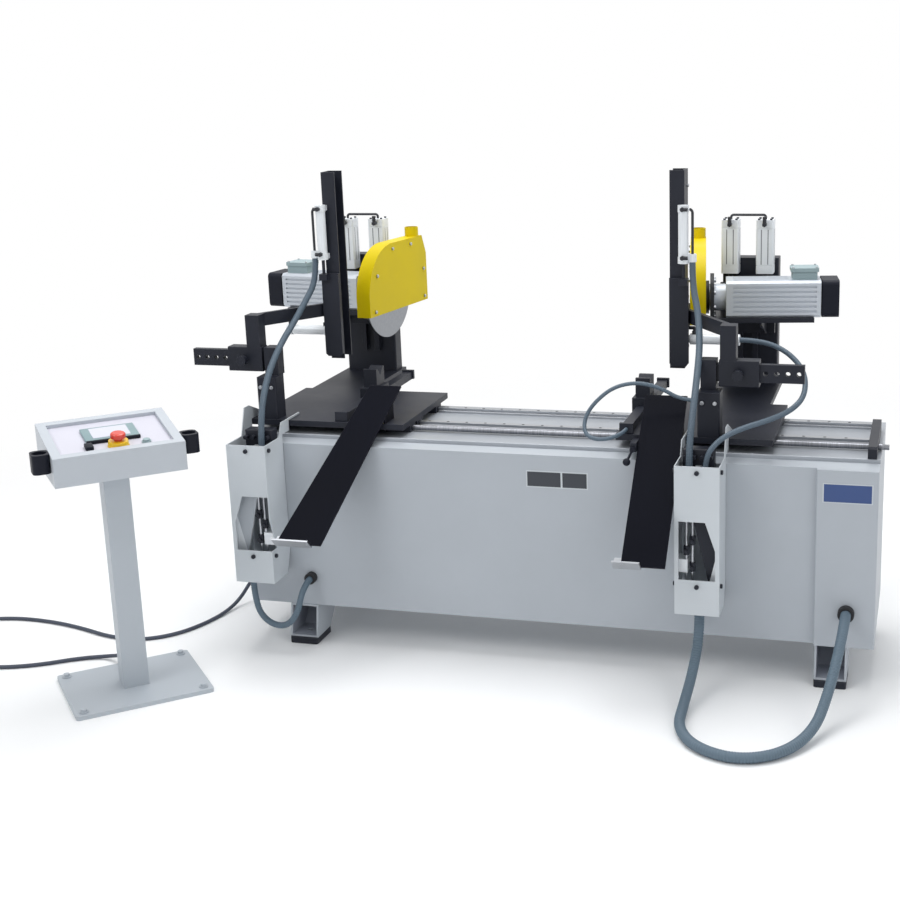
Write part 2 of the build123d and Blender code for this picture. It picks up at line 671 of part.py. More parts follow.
for head in HEADS:
    tower_back = BASE_FRONT - TOWER_GAP
    slope_top = BED_TOP + 8
    lower_edge = [
        (EAR_BACK, HEAD_TOP),
        (PLATE_FRONT - 1, HEAD_TOP),
        (PLATE_FRONT - 1, slope_top),
        (tower_back, slope_top),
        (tower_back, TOWER_BOTTOM + 68),
        (tower_back - 29, TOWER_BOTTOM),
    ]
    front_edge = [(TOWER_FRONT, TOWER_BOTTOM), (TOWER_FRONT, TOWER_TOP), (tower_back - 22, TOWER_TOP)]
    with BuildPart() as tower:
        side_prism(head.x(TOWER_WIDTH), head.x(TOWER_WIDTH - TOWER_WALL), front_edge + [
            (tower_back + 8, EAR_TOP),
            (tower_back + 40, EAR_TOP),
            (EAR_BACK, HEAD_TOP + STRIP_RISE),
        ] + lower_edge)
        side_prism(head.x(0), head.x(TOWER_WALL), front_edge + [
            (tower_back - 2, HEAD_TOP + STRIP_RISE),
            (EAR_BACK, HEAD_TOP + STRIP_RISE),
        ] + lower_edge)
        block(head.x(0), head.x(TOWER_WIDTH), TOWER_FRONT, TOWER_FRONT + TOWER_WALL, TOWER_BOTTOM, TOWER_TOP)
        block(head.x(0), head.x(TOWER_WIDTH), TOWER_FRONT, tower_back - 29, TOWER_BOTTOM,
              TOWER_BOTTOM + TOWER_WALL)
        window_in = WINDOW_MARGIN if head is RIGHT else TOWER_WALL
        window_out = TOWER_WIDTH - WINDOW_MARGIN
        with BuildSketch(front_plane(TOWER_FRONT - CLEAR)) as window:
            with BuildLine():
                Polyline(
                    (head.x(window_in), WINDOW_BOTTOM),
                    (head.x(window_out), WINDOW_BOTTOM),
                    (head.x(window_out), WINDOW_TOP - WINDOW_CHAMFER_Z),
                    (head.x(window_out - WINDOW_CHAMFER_U), WINDOW_TOP),
                    (head.x(window_in), WINDOW_TOP),
                    close=True,
                )
            make_face()
        extrude(window.sketch, amount=-TOWER_WALL - 2 * CLEAR, mode=Mode.SUBTRACT)
        if head is LEFT:
            side_prism(head.x(-CLEAR), head.x(TOWER_WALL + CLEAR), [
                (TOWER_FRONT - CLEAR, WINDOW_BOTTOM),
                (TOWER_FRONT + SIDE_CUT_DEPTH, WINDOW_BOTTOM),
                (TOWER_FRONT - CLEAR, WINDOW_BOTTOM + SIDE_CUT_RISE),
            ], mode=Mode.SUBTRACT)
        bar_z(TOWER_BOTTOM - CLEAR, TOWER_BOTTOM + TOWER_WALL + CLEAR, head.x(head.hose_u), HOSE_Y,
              HOSE_HOLE, mode=Mode.SUBTRACT)
        with BuildSketch(front_plane(HOSE_Y - 20)) as brace:
            with BuildLine():
                Polyline(
                    (head.x(43), WINDOW_TOP + 20),
                    (head.x(89), WINDOW_TOP + 20),
                    (head.x(TOWER_WIDTH - TOWER_WALL), WINDOW_TOP - 65),
                    (head.x(TOWER_WIDTH - TOWER_WALL), WINDOW_BOTTOM - 20),
                    (head.x(93), WINDOW_BOTTOM - 20),
                    close=True,
                )
            make_face()
        extrude(brace.sketch, amount=6)
        block(head.x(TOWER_WALL), head.x(34), HOSE_Y - 32, HOSE_Y + 20, WINDOW_BOTTOM + 14,
              WINDOW_BOTTOM + 52)
        block(head.x(TOWER_WALL), head.x(MANIFOLD_WIDTH), HOSE_Y - 30, HOSE_Y + 22,
              MANIFOLD_TOP - MANIFOLD_HEIGHT, MANIFOLD_TOP)
    save(tower, f"{head.name}_tower")

    with BuildPart() as chute:
        slope = Plane(origin=(0, CHUTE_LOW_Y, CHUTE_LOW_Z), x_dir=(1, 0, 0), z_dir=(0, -CHUTE_SIN, CHUTE_COS))
        with BuildSketch(slope) as sheet:
            with BuildLine():
                Polyline(
                    (head.x(head.chute_low[0]), 0),
                    (head.x(head.chute_low[1]), 0),
                    (head.x(head.chute_top[1]), CHUTE_LENGTH),
                    (head.x(head.chute_top[0]), CHUTE_LENGTH),
                    close=True,
                )
            make_face()
        extrude(sheet.sketch, amount=-CHUTE_THICK)
        rib_y0 = PLATE_FRONT + CLEAR
        rib_y1 = CHUTE_TOP_Y - 6
        for u in head.chute_ribs:
            side_prism(head.x(u), head.x(u - 6), [
                (rib_y0, HEAD_TOP),
                (rib_y1, HEAD_TOP),
                (rib_y1, below_chute(rib_y1)),
                (rib_y0, below_chute(rib_y0)),
            ])
    save(chute, f"{head.name}_chute")

    with BuildPart() as chute_stop:
        side_prism(head.x(head.stop[0]), head.x(head.stop[1]), [
            on_chute(-STOP_THICK, -CHUTE_THICK - STOP_THICK),
            on_chute(STOP_FLANGE, -CHUTE_THICK - STOP_THICK),
            on_chute(STOP_FLANGE, -CHUTE_THICK),
            on_chute(0, -CHUTE_THICK),
            on_chute(0, STOP_RISE),
            on_chute(-STOP_THICK, STOP_RISE),
        ])
    save(chute_stop, f"{head.name}_chute_stop")

    column_back = MAG_COLUMN_FRONT + MAG_COLUMN_DEPTH
    with BuildPart() as magazine_column:
        block(head.x(MAG_COLUMN_U0), head.x(MAG_COLUMN_U1), MAG_COLUMN_FRONT, column_back, HEAD_TOP,
              MAG_COLUMN_TOP)
        fillet(magazine_column.edges().filter_by(Axis.Z), radius=6)
        block(head.x(LUG_U0), head.x(LUG_U1), SLEEVE_FRONT, SLEEVE_BACK, MAG_COLUMN_TOP, SLEEVE_TOP)
        block(head.x(LUG_U1 - 20), head.x(BAR_END_U), BAR_FRONT, BAR_FRONT + BAR_THICK, BAR_BOTTOM,
              BAR_BOTTOM + BAR_HEIGHT)
        holes = int((BAR_END_U - LUG_U1 - BAR_HOLE) // BAR_PITCH)
        for n in range(holes):
            bar_y(BAR_FRONT - CLEAR, BAR_FRONT + BAR_THICK + CLEAR, head.x(BAR_END_U - 15 - n * BAR_PITCH),
                  BAR_BOTTOM + BAR_HEIGHT / 2, BAR_HOLE, mode=Mode.SUBTRACT)
    save(magazine_column, f"{head.name}_magazine_column")

    arm_bottom = GALLOWS_TOP - ARM_HEIGHT
    leg_u0 = SLEEVE_U0 + 3
    leg_u1 = leg_u0 + 45
    shoe_u = POST_OUTER_U + 8
    with BuildPart() as gallows:
        block(head.x(SLEEVE_U0), head.x(SLEEVE_U1), SLEEVE_FRONT, SLEEVE_BACK, SLEEVE_BOTTOM, SLEEVE_TOP)
        fillet(gallows.edges().filter_by(Axis.X), radius=3)
        block(head.x(SLEEVE_U0 - CLEAR), head.x(SLEEVE_U1 + CLEAR), BAR_FRONT - SLIDE_GAP,
              BAR_FRONT + BAR_THICK + SLIDE_GAP, BAR_BOTTOM - SLIDE_GAP, BAR_BOTTOM + BAR_HEIGHT + SLIDE_GAP,
              mode=Mode.SUBTRACT)
        block(head.x(leg_u0), head.x(leg_u1), SLEEVE_BACK - 44, SLEEVE_BACK, SLEEVE_TOP - CLEAR, GALLOWS_TOP)
        start = Vector(head.x((leg_u0 + leg_u1) / 2), SLEEVE_BACK - 12)
        finish = Vector(head.x(shoe_u - 4), POST_Y)
        with BuildSketch(Plane.XY.offset(arm_bottom)) as arm:
            with Locations(Location((start + finish) / 2, (0, 0, math.degrees(math.atan2(
                    (finish - start).Y, (finish - start).X))))):
                Rectangle((finish - start).length, ARM_THICK)
        extrude(arm.sketch, amount=ARM_HEIGHT)
        block(head.x(POST_OUTER_U), head.x(POST_OUTER_U - 20), POST_FRONT - CLEAR,
              POST_FRONT + POST_DEPTH + CLEAR, arm_bottom - 20, GALLOWS_TOP + 20, mode=Mode.SUBTRACT)
        block(head.x(POST_OUTER_U), head.x(shoe_u), POST_FRONT + 8, POST_FRONT + POST_DEPTH - 8,
              arm_bottom - 14, GALLOWS_TOP + 14)
        knob_x = head.x((SLEEVE_U0 + SLEEVE_U1) / 2)
        bar_y(SLEEVE_FRONT + CLEAR, SLEEVE_FRONT - 14, knob_x, BAR_BOTTOM + BAR_HEIGHT / 2, 12)
        bar_y(SLEEVE_FRONT - 14, SLEEVE_FRONT - 32, knob_x, BAR_BOTTOM + BAR_HEIGHT / 2, 30)
    save(gallows, f"{head.name}_gallows")

    with BuildPart() as magazine_post:
        block(head.x(POST_INNER_U), head.x(POST_OUTER_U), POST_FRONT, POST_FRONT + POST_DEPTH, POST_BOTTOM,
              POST_TOP)
        block(head.x(POST_INNER_U - CLEAR), head.x(POST_OUTER_U - POST_WALL), POST_FRONT + POST_WALL,
              POST_FRONT + POST_DEPTH - POST_WALL, POST_BOTTOM - CLEAR, POST_TOP + CLEAR, mode=Mode.SUBTRACT)
        bar_x(head.x(POST_OUTER_U + CLEAR), head.x(POST_OUTER_U - POST_WALL - CLEAR), POST_Y, ESCAPE_Z,
              SMALL_ROD + 2 * RUNNING_FIT, mode=Mode.SUBTRACT)
    save(magazine_post, f"{head.name}_magazine_post")

    gate_x = head.x(POST_OUTER_U)
    nose_u = POST_OUTER_U + ESCAPE_NOSE
    escape_end = nose_u + ESCAPE_LENGTH
    port_x = head.x(POST_OUTER_U + 27)
    with BuildPart() as magazine_cylinders:
        bar_x(head.x(POST_OUTER_U), head.x(nose_u), POST_Y, ESCAPE_Z, 24)
        bar_x(head.x(nose_u), head.x(escape_end), POST_Y, ESCAPE_Z, ESCAPE_DIA)
        for u in (nose_u + 9, escape_end - 9):
            bar_x(head.x(u - 9), head.x(u + 9), POST_Y, ESCAPE_Z, ESCAPE_DIA + 4)
        bar_x(head.x(POST_OUTER_U - CLEAR), head.x(escape_end - 20), POST_Y, ESCAPE_Z,
              SMALL_ROD + 2 * RUNNING_FIT, mode=Mode.SUBTRACT)
        bar_z(GATE_CYL_BOTTOM, GATE_CYL_TOP, gate_x, GATE_CYL_Y, GATE_CYL_DIA)
        for z in (GATE_CYL_BOTTOM + 10, GATE_CYL_TOP - 10):
            bar_z(z - 10, z + 10, gate_x, GATE_CYL_Y, GATE_CYL_DIA + 3)
            block(gate_x, head.x(POST_OUTER_U - 15), GATE_CYL_Y, POST_FRONT, z - 8, z + 8)
        block(gate_x, port_x, GATE_CYL_Y - 8, GATE_CYL_Y + 8, GATE_CYL_BOTTOM + 12, GATE_CYL_BOTTOM + 28)
        bar_z(GATE_CYL_BOTTOM + 5, GATE_CYL_BOTTOM + 28, port_x, GATE_CYL_Y, POST_HOSE + 4)
        bar_z(GATE_CYL_BOTTOM - CLEAR, GATE_CYL_TOP - 20, gate_x, GATE_CYL_Y, SMALL_ROD + 2 * RUNNING_FIT,
              mode=Mode.SUBTRACT)
        hose([
            (gate_x, GATE_CYL_Y, GATE_CYL_TOP - 11),
            (port_x, GATE_CYL_Y, GATE_CYL_TOP - 11),
            (port_x, GATE_CYL_Y, GATE_CYL_BOTTOM + 24),
        ], AIR_LINE)
    save(magazine_cylinders, f"{head.name}_magazine_cylinders")

    gate_back = POST_FRONT - SLIDE_GAP
    with BuildPart() as magazine_gate:
        block(head.x(POST_INNER_U), head.x(POST_INNER_U + GATE_WIDTH), gate_back - GATE_THICK, gate_back,
              GATE_BOTTOM, GATE_TOP)
        chamfer(magazine_gate.edges().filter_by(Axis.Y).group_by(Axis.Z)[0], length=8)
        block(head.x(POST_OUTER_U - 13), head.x(POST_OUTER_U + 13), GATE_CYL_Y - 12, gate_back, GATE_TOP - 20,
              GATE_TOP)
        bar_z(GATE_TOP - 10, GATE_CYL_BOTTOM + 90, gate_x, GATE_CYL_Y, SMALL_ROD)
    save(magazine_gate, f"{head.name}_magazine_gate")

    with BuildPart() as escapement_rod:
        bar_x(head.x(POST_OUTER_U - POST_WALL - 8), head.x(escape_end - 60), POST_Y, ESCAPE_Z, SMALL_ROD)
        bar_x(head.x(POST_OUTER_U - POST_WALL - 8), head.x(POST_OUTER_U - POST_WALL - 3), POST_Y,
              ESCAPE_Z, 22)
    save(escapement_rod, f"{head.name}_escapement_rod")

    feed_x = head.x(FEED_U)
    with BuildPart() as feed_guide:
        block(feed_x - GUIDE_WIDTH / 2, feed_x + GUIDE_WIDTH / 2, GUIDE_FRONT, GUIDE_BACK, HEAD_TOP,
              HEAD_TOP + GUIDE_HEIGHT)
        for y0, y1 in ((GUIDE_FRONT - CAP_LENGTH, GUIDE_FRONT), (GUIDE_BACK, GUIDE_BACK + CAP_LENGTH)):
            block(feed_x - CAP_WIDTH / 2, feed_x + CAP_WIDTH / 2, y0, y1, HEAD_TOP, HEAD_TOP + CAP_HEIGHT)
    save(feed_guide, f"{head.name}_feed_guide")

    with BuildPart() as feed_slide:
        block(feed_x - SLIDE_WIDTH / 2, feed_x + SLIDE_WIDTH / 2, POST_Y - SLIDE_LENGTH / 2,
              POST_Y + SLIDE_LENGTH / 2, HEAD_TOP + CLEAR, SLIDE_TOP)
        block(feed_x - GUIDE_WIDTH / 2 - SLIDE_GAP, feed_x + GUIDE_WIDTH / 2 + SLIDE_GAP,
              POST_Y - SLIDE_LENGTH, POST_Y + SLIDE_LENGTH, HEAD_TOP, HEAD_TOP + GUIDE_HEIGHT + SLIDE_GAP,
              mode=Mode.SUBTRACT)
        side_prism(feed_x - JAW_WIDTH / 2, feed_x + JAW_WIDTH / 2, [
            (POST_Y - JAW_LENGTH / 2, SLIDE_TOP - CLEAR),
            (POST_Y - JAW_LENGTH / 2, JAW_TOP),
            (POST_Y - VEE_WIDTH / 2, JAW_TOP),
            (POST_Y, JAW_TOP - VEE_DEPTH),
            (POST_Y + VEE_WIDTH / 2, JAW_TOP),
            (POST_Y + JAW_LENGTH / 2, JAW_TOP),
            (POST_Y + JAW_LENGTH / 2, SLIDE_TOP - CLEAR),
        ])
    save(feed_slide, f"{head.name}_feed_slide")

    column_w1 = SAW_COLUMN_W0 + SAW_COLUMN_WIDTH
    column_rear = SAW_COLUMN_FRONT + SAW_COLUMN_DEPTH
    with BuildPart() as saw_column:
        block(head.w(SAW_COLUMN_W0), head.w(column_w1), SAW_COLUMN_FRONT, column_rear, HEAD_TOP,
              SAW_COLUMN_TOP)
        fillet(saw_column.edges().filter_by(Axis.Z), radius=6)
        block(head.w(SAW_COLUMN_W0 + SAW_COLUMN_WALL), head.w(column_w1 - SAW_COLUMN_WALL),
              SAW_COLUMN_FRONT + SAW_COLUMN_WALL, column_rear - SAW_COLUMN_WALL, HEAD_TOP + SAW_COLUMN_WALL,
              SAW_COLUMN_TOP - SAW_COLUMN_WALL, mode=Mode.SUBTRACT)
        for rail in (SAW_RAIL_1, SAW_RAIL_2):
            rail_w = SAW_COLUMN_W0 + rail
            block(head.w(rail_w - SAW_RAIL_WIDTH / 2), head.w(rail_w + SAW_RAIL_WIDTH / 2),
                  SAW_COLUMN_FRONT - SAW_RAIL_HEIGHT, SAW_COLUMN_FRONT + CLEAR, SAW_RAIL_BOTTOM, SAW_RAIL_TOP)
    save(saw_column, f"{head.name}_saw_column")

    with BuildPart() as saw_cylinders:
        for centre in (CYL_1, CYL_2):
            cyl_x = head.w(SAW_COLUMN_W0 + centre)
            block(cyl_x - CYL_SIDE / 2, cyl_x + CYL_SIDE / 2, CYL_Y - CYL_SIDE / 2, CYL_Y + CYL_SIDE / 2,
                  CYL_BOTTOM, CYL_TOP)
        fillet(saw_cylinders.edges().filter_by(Axis.Z), radius=5)
        for centre in (CYL_1, CYL_2):
            cyl_x = head.w(SAW_COLUMN_W0 + centre)
            for z in (CYL_BOTTOM + 26, CYL_TOP - 26):
                for dx in (-1, 1):
                    block(cyl_x + dx * (CYL_SIDE / 2 - 1.5), cyl_x + dx * (CYL_SIDE / 2 + CLEAR),
                          CYL_Y - CYL_SIDE, CYL_Y + CYL_SIDE, z - 1.5, z + 1.5, mode=Mode.SUBTRACT)
                block(cyl_x - CYL_SIDE, cyl_x + CYL_SIDE, CYL_Y - CYL_SIDE / 2 - CLEAR,
                      CYL_Y - CYL_SIDE / 2 + 1.5, z - 1.5, z + 1.5, mode=Mode.SUBTRACT)
            bar_z(CYL_BOTTOM - CLEAR, CYL_BOTTOM + CYL_GLAND + CLEAR, cyl_x, CYL_Y, CYL_ROD + 2 * RUNNING_FIT,
                  mode=Mode.SUBTRACT)
            bar_z(CYL_BOTTOM + CYL_GLAND, CYL_TOP - CYL_GLAND, cyl_x, CYL_Y, CYL_BORE, mode=Mode.SUBTRACT)
        line_z = CYL_TOP + AIR_LINE_RISE
        hose([
            (head.w(SAW_COLUMN_W0 + CYL_1), CYL_Y, CYL_TOP - 4),
            (head.w(SAW_COLUMN_W0 + CYL_1), CYL_Y, line_z),
            (head.w(SAW_COLUMN_W0 + CYL_2), CYL_Y, line_z),
            (head.w(SAW_COLUMN_W0 + CYL_2), CYL_Y, CYL_TOP - 4),
        ], AIR_LINE)
    save(saw_cylinders, f"{head.name}_saw_cylinders")

    table_w0 = BACKING_W0
    with BuildPart() as motor_table:
        block(head.w(table_w0), head.w(MOTOR_W1 - 20), SAW_Y - MOTOR_SIDE / 2 - 8, SAW_COLUMN_FRONT,
              MOTOR_BOTTOM - TABLE_THICK, MOTOR_BOTTOM)
        block(head.w(table_w0), head.w(table_w0 + BACKING_THICK), SAW_Y - BACKING_WIDTH / 2,
              SAW_Y + BACKING_WIDTH / 2, MOTOR_BOTTOM - TABLE_THICK, SAW_Z)
        bar_x(head.w(table_w0), head.w(table_w0 + BACKING_THICK), SAW_Y, SAW_Z, BACKING_WIDTH)
        bar_x(head.w(table_w0 - CLEAR), head.w(table_w0 + BACKING_THICK + CLEAR), SAW_Y, SAW_Z,
              NECK_DIA + 2 * SLIDE_GAP, mode=Mode.SUBTRACT)
    with BuildPart() as saw_plate:
        add(head.toed_in(motor_table.part))
        block(head.w(-MOTOR_LENGTH), head.w(2 * MOTOR_LENGTH), BACK_PLATE_FRONT + CLEAR, 2 * SAW_COLUMN_FRONT,
              MOTOR_BOTTOM - 2 * TABLE_THICK, SAW_Z + MOTOR_SIDE, mode=Mode.SUBTRACT)
        block(head.w(SAW_COLUMN_W0 + 3), head.w(column_w1 - 3), BACK_PLATE_FRONT, BACK_PLATE_BACK,
              BACK_PLATE_BOTTOM, BACK_PLATE_TOP)
        for w in (table_w0 + 27, table_w0 + 133):
            side_prism(head.w(w), head.w(w + 8), [
                (BACK_PLATE_FRONT + CLEAR, BACK_PLATE_BOTTOM),
                (BACK_PLATE_FRONT + CLEAR, MOTOR_BOTTOM - CLEAR),
                (SAW_Y - 30, MOTOR_BOTTOM - CLEAR),
                (SAW_Y - 30, MOTOR_BOTTOM - TABLE_THICK - 6),
                (BACK_PLATE_FRONT - 8, BACK_PLATE_BOTTOM),
            ])
        for centre in (CYL_1, CYL_2):
            cyl_w = SAW_COLUMN_W0 + centre
            block(head.w(cyl_w - 13), head.w(cyl_w + 13), BACK_PLATE_BACK - CLEAR, SAW_COLUMN_FRONT - 4,
                  BACK_PLATE_TOP - 15, BACK_PLATE_TOP)
            bar_z(BACK_PLATE_TOP - 5, CYL_TOP - CYL_GLAND - 8, head.w(cyl_w), CYL_Y, CYL_ROD)
            bar_z(CYL_TOP - CYL_GLAND - 28, CYL_TOP - CYL_GLAND - 8, head.w(cyl_w), CYL_Y, CYL_BORE - 1)
        for rail in (SAW_RAIL_1, SAW_RAIL_2):
            rail_w = SAW_COLUMN_W0 + rail
            for z0 in (BACK_PLATE_BOTTOM + 5, BACK_PLATE_TOP - 65):
                block(head.w(rail_w - TRUCK_WIDTH / 2), head.w(rail_w + TRUCK_WIDTH / 2),
                      BACK_PLATE_BACK - CLEAR, SAW_COLUMN_FRONT - 6, z0, z0 + 46)
                groove = SAW_RAIL_WIDTH / 2 + SLIDE_GAP
                block(head.w(rail_w - groove), head.w(rail_w + groove),
                      SAW_COLUMN_FRONT - SAW_RAIL_HEIGHT - SLIDE_GAP, SAW_COLUMN_FRONT, z0 - CLEAR, z0 + 48,
                      mode=Mode.SUBTRACT)
    save(saw_plate, f"{head.name}_saw_plate")

    with BuildPart() as motor:
        half = MOTOR_SIDE / 2
        block(head.w(MOTOR_NECK), head.w(MOTOR_W1), SAW_Y - half, SAW_Y + half, SAW_Z - half, SAW_Z + half)
        chamfer(motor.edges().filter_by(Axis.X), length=8)
        pitch = (MOTOR_SIDE - 24) / FIN_COUNT
        for n in range(FIN_COUNT):
            off = (n - (FIN_COUNT - 1) / 2) * pitch
            for face in (-1, 1):
                block(head.w(MOTOR_NECK + 22), head.w(MOTOR_W1 - 14), SAW_Y + face * (half - FIN_DEPTH),
                      SAW_Y + face * (half + CLEAR), SAW_Z + off - FIN_GROOVE / 2,
                      SAW_Z + off + FIN_GROOVE / 2, mode=Mode.SUBTRACT)
            block(head.w(MOTOR_NECK + 22), head.w(TERMINAL_W0 - 10), SAW_Y + off - FIN_GROOVE / 2,
                  SAW_Y + off + FIN_GROOVE / 2, SAW_Z + half - FIN_DEPTH, SAW_Z + half + CLEAR,
                  mode=Mode.SUBTRACT)
        bar_x(head.w(0), head.w(MOTOR_FLANGE_THICK), SAW_Y, SAW_Z, MOTOR_FLANGE)
        bar_x(head.w(MOTOR_FLANGE_THICK), head.w(MOTOR_NECK), SAW_Y, SAW_Z, NECK_DIA)
        bar_x(head.w(MOTOR_W1), head.w(MOTOR_W1 + 4), SAW_Y, SAW_Z, 100)
        bar_x(head.w(-CLEAR), head.w(ARBOR_LENGTH + CLEAR), SAW_Y, SAW_Z, ARBOR_DIA + 2 * RUNNING_FIT,
              mode=Mode.SUBTRACT)
        with BuildSketch(side_plane(head.w(MOTOR_W1 + 3))) as fan:
            with Locations((SAW_Y, SAW_Z)):
                RectangleRounded(FAN_SIDE, FAN_SIDE - 4, FAN_RADIUS)
        extrude(fan.sketch, amount=head.side * (FAN_LENGTH - 3))
        for n in range(-2, 3):
            block(head.w(MOTOR_W1 + FAN_LENGTH - 4), head.w(MOTOR_W1 + FAN_LENGTH + CLEAR), SAW_Y - 38,
                  SAW_Y + 38, SAW_Z + n * 16 - 3, SAW_Z + n * 16 + 3, mode=Mode.SUBTRACT)
        box_top = SAW_Z + half + TERMINAL_HEIGHT
        block(head.w(TERMINAL_W0), head.w(TERMINAL_W0 + TERMINAL_LENGTH), SAW_Y - TERMINAL_DEPTH / 2,
              SAW_Y + TERMINAL_DEPTH / 2, SAW_Z + half - CLEAR, box_top)
        with BuildSketch(Plane.XY.offset(box_top)) as lid:
            with Locations((head.w(TERMINAL_W0 + TERMINAL_LENGTH / 2), SAW_Y)):
                RectangleRounded(TERMINAL_LENGTH + 2 * LID_LIP, TERMINAL_DEPTH + 2 * LID_LIP, 8)
        extrude(lid.sketch, amount=LID_HEIGHT)
    save(motor, f"{head.name}_motor", unit=head)

    with BuildPart() as saw_blade:
        with BuildSketch(side_plane(head.w(BLADE_W) - BLADE_THICK / 2)) as disc:
            with Locations((SAW_Y, SAW_Z)):
                Circle(BLADE_DIA / 2)
                with PolarLocations(BLADE_DIA / 2, BLADE_TEETH):
                    with BuildLine():
                        step = math.pi * BLADE_DIA / BLADE_TEETH
                        Polyline((1, -step * 0.62), (-TOOTH_DEPTH, 0), (1, 0), close=True)
                    make_face(mode=Mode.SUBTRACT)
        extrude(disc.sketch, amount=BLADE_THICK)
        blade_face = BLADE_THICK / 2
        bar_x(head.w(BLADE_W - blade_face - FLANGE_THICK), head.w(BLADE_W + blade_face + FLANGE_THICK),
              SAW_Y, SAW_Z, FLANGE_DIA)
        bar_x(head.w(BLADE_W), head.w(ARBOR_LENGTH), SAW_Y, SAW_Z, ARBOR_DIA)
        with BuildSketch(side_plane(head.w(BLADE_W - blade_face - FLANGE_THICK))) as nut:
            with Locations((SAW_Y, SAW_Z)):
                RegularPolygon(16, 6)
        extrude(nut.sketch, amount=-head.side * 9)
    save(saw_blade, f"{head.name}_saw_blade", unit=head)

    with BuildPart() as saw_guard:
        with BuildSketch(side_plane(head.w(0))) as skin:
            guard_outline(0, 0)
        extrude(skin.sketch, amount=-head.side * GUARD_WIDTH)
        with BuildSketch(side_plane(head.w(-GUARD_WALL))) as hollow:
            guard_outline(GUARD_WALL, 10)
        extrude(hollow.sketch, amount=-head.side * (GUARD_WIDTH - 2 * GUARD_WALL), mode=Mode.SUBTRACT)
        spigot_x = head.w(-GUARD_WIDTH / 2)
        crown_z = SAW_Z + GUARD_RADIUS
        bar_z(crown_z - GUARD_WALL, SPIGOT_TOP, spigot_x, SPIGOT_Y, SPIGOT_DIA)
        bar_z(crown_z - GUARD_WALL - CLEAR, SPIGOT_TOP + CLEAR, spigot_x, SPIGOT_Y,
              SPIGOT_DIA - 2 * SPIGOT_WALL, mode=Mode.SUBTRACT)
        bar_x(head.w(CLEAR), head.w(-GUARD_WALL - CLEAR), SAW_Y, SAW_Z, ARBOR_DIA + 2 * CLEAR,
              mode=Mode.SUBTRACT)
    save(saw_guard, f"{head.name}_saw_guard", unit=head)

# Control pedestal, in its own turned frame
PED = Plane(
    origin=(BASE_LEFT - PED_SETOFF, PED_Y, 0),
    x_dir=(math.cos(math.radians(PED_TURN)), math.sin(math.radians(PED_TURN)), 0),
    z_dir=(0, 0, 1),
)
SLOPE = math.atan2(CONSOLE_BACK_Z - CONSOLE_FRONT_Z, CONSOLE_DEPTH)
CONSOLE_MID_Z = (CONSOLE_FRONT_Z + CONSOLE_BACK_Z) / 2
DESK = Plane(PED.location * Location((0, 0, CONSOLE_MID_Z), (math.degrees(SLOPE), 0, 0)))
PANEL_LENGTH = CONSOLE_WIDTH - 2 * PANEL_MARGIN
PANEL_DEPTH = CONSOLE_DEPTH / math.cos(SLOPE) - 2 * PANEL_MARGIN
ESTOP_AT = (ESTOP_X, ESTOP_Y)
SHROUD_X = CONSOLE_WIDTH / 2 + SHROUD_WIDTH / 2
SHROUD_Y = -CONSOLE_DEPTH / 2 + SHROUD_SETBACK
SHROUD_TOP = CONSOLE_FRONT_Z + SHROUD_RISE

with BuildPart(PED) as pedestal_stand:
    block(-PED_PLATE_LENGTH / 2, PED_PLATE_LENGTH / 2, -PED_PLATE_DEPTH / 2, PED_PLATE_DEPTH / 2, 0,
          PED_PLATE_THICK)
    fillet(pedestal_stand.edges().filter_by(Axis.Z), radius=10)
    tube = PED_TUBE / 2
    block(-tube, tube, -tube, tube, PED_PLATE_THICK, CONSOLE_BOTTOM)
    bore = tube - PED_TUBE_WALL
    block(-bore, bore, -bore, bore, PED_PLATE_THICK, CONSOLE_BOTTOM - PED_TUBE_WALL, mode=Mode.SUBTRACT)
save(pedestal_stand, "pedestal_stand")

with BuildPart(PED) as pedestal_bolts:
    with GridLocations(PED_PLATE_LENGTH - 50, PED_PLATE_DEPTH - 50, 2, 2):
        with Locations((0, 0, PED_PLATE_THICK + 1.5)):
            Cylinder(13, 3)
        with Locations((0, 0, PED_PLATE_THICK + 7)):
            Cylinder(8.5, 8)
save(pedestal_bolts, "pedestal_bolts")

with BuildPart() as console_box:
    with BuildSketch(Plane(PED.location * side_plane(-CONSOLE_WIDTH / 2).location)) as profile:
        with BuildLine():
            Polyline(
                (-CONSOLE_DEPTH / 2, CONSOLE_BOTTOM),
                (-CONSOLE_DEPTH / 2, CONSOLE_FRONT_Z),
                (CONSOLE_DEPTH / 2, CONSOLE_BACK_Z),
                (CONSOLE_DEPTH / 2, CONSOLE_BOTTOM),
                close=True,
            )
        make_face()
    extrude(profile.sketch, amount=CONSOLE_WIDTH)
    with BuildSketch(Plane(PED.location * side_plane(-CONSOLE_WIDTH / 2 + CONSOLE_WALL).location)) as cavity:
        with BuildLine():
            Polyline(
                (-CONSOLE_DEPTH / 2 + CONSOLE_WALL, CONSOLE_BOTTOM + CONSOLE_WALL),
                (-CONSOLE_DEPTH / 2 + CONSOLE_WALL, CONSOLE_FRONT_Z - CONSOLE_WALL - PANEL_THICK - PANEL_SINK),
                (CONSOLE_DEPTH / 2 - CONSOLE_WALL, CONSOLE_BACK_Z - CONSOLE_WALL - PANEL_THICK - PANEL_SINK),
                (CONSOLE_DEPTH / 2 - CONSOLE_WALL, CONSOLE_BOTTOM + CONSOLE_WALL),
                close=True,
            )
        make_face()
    extrude(cavity.sketch, amount=CONSOLE_WIDTH - 2 * CONSOLE_WALL, mode=Mode.SUBTRACT)
    with BuildSketch(DESK) as recess:
        Rectangle(PANEL_LENGTH, PANEL_DEPTH)
    extrude(recess.sketch, amount=-PANEL_THICK - PANEL_SINK, mode=Mode.SUBTRACT)
save(console_box, "console_box")

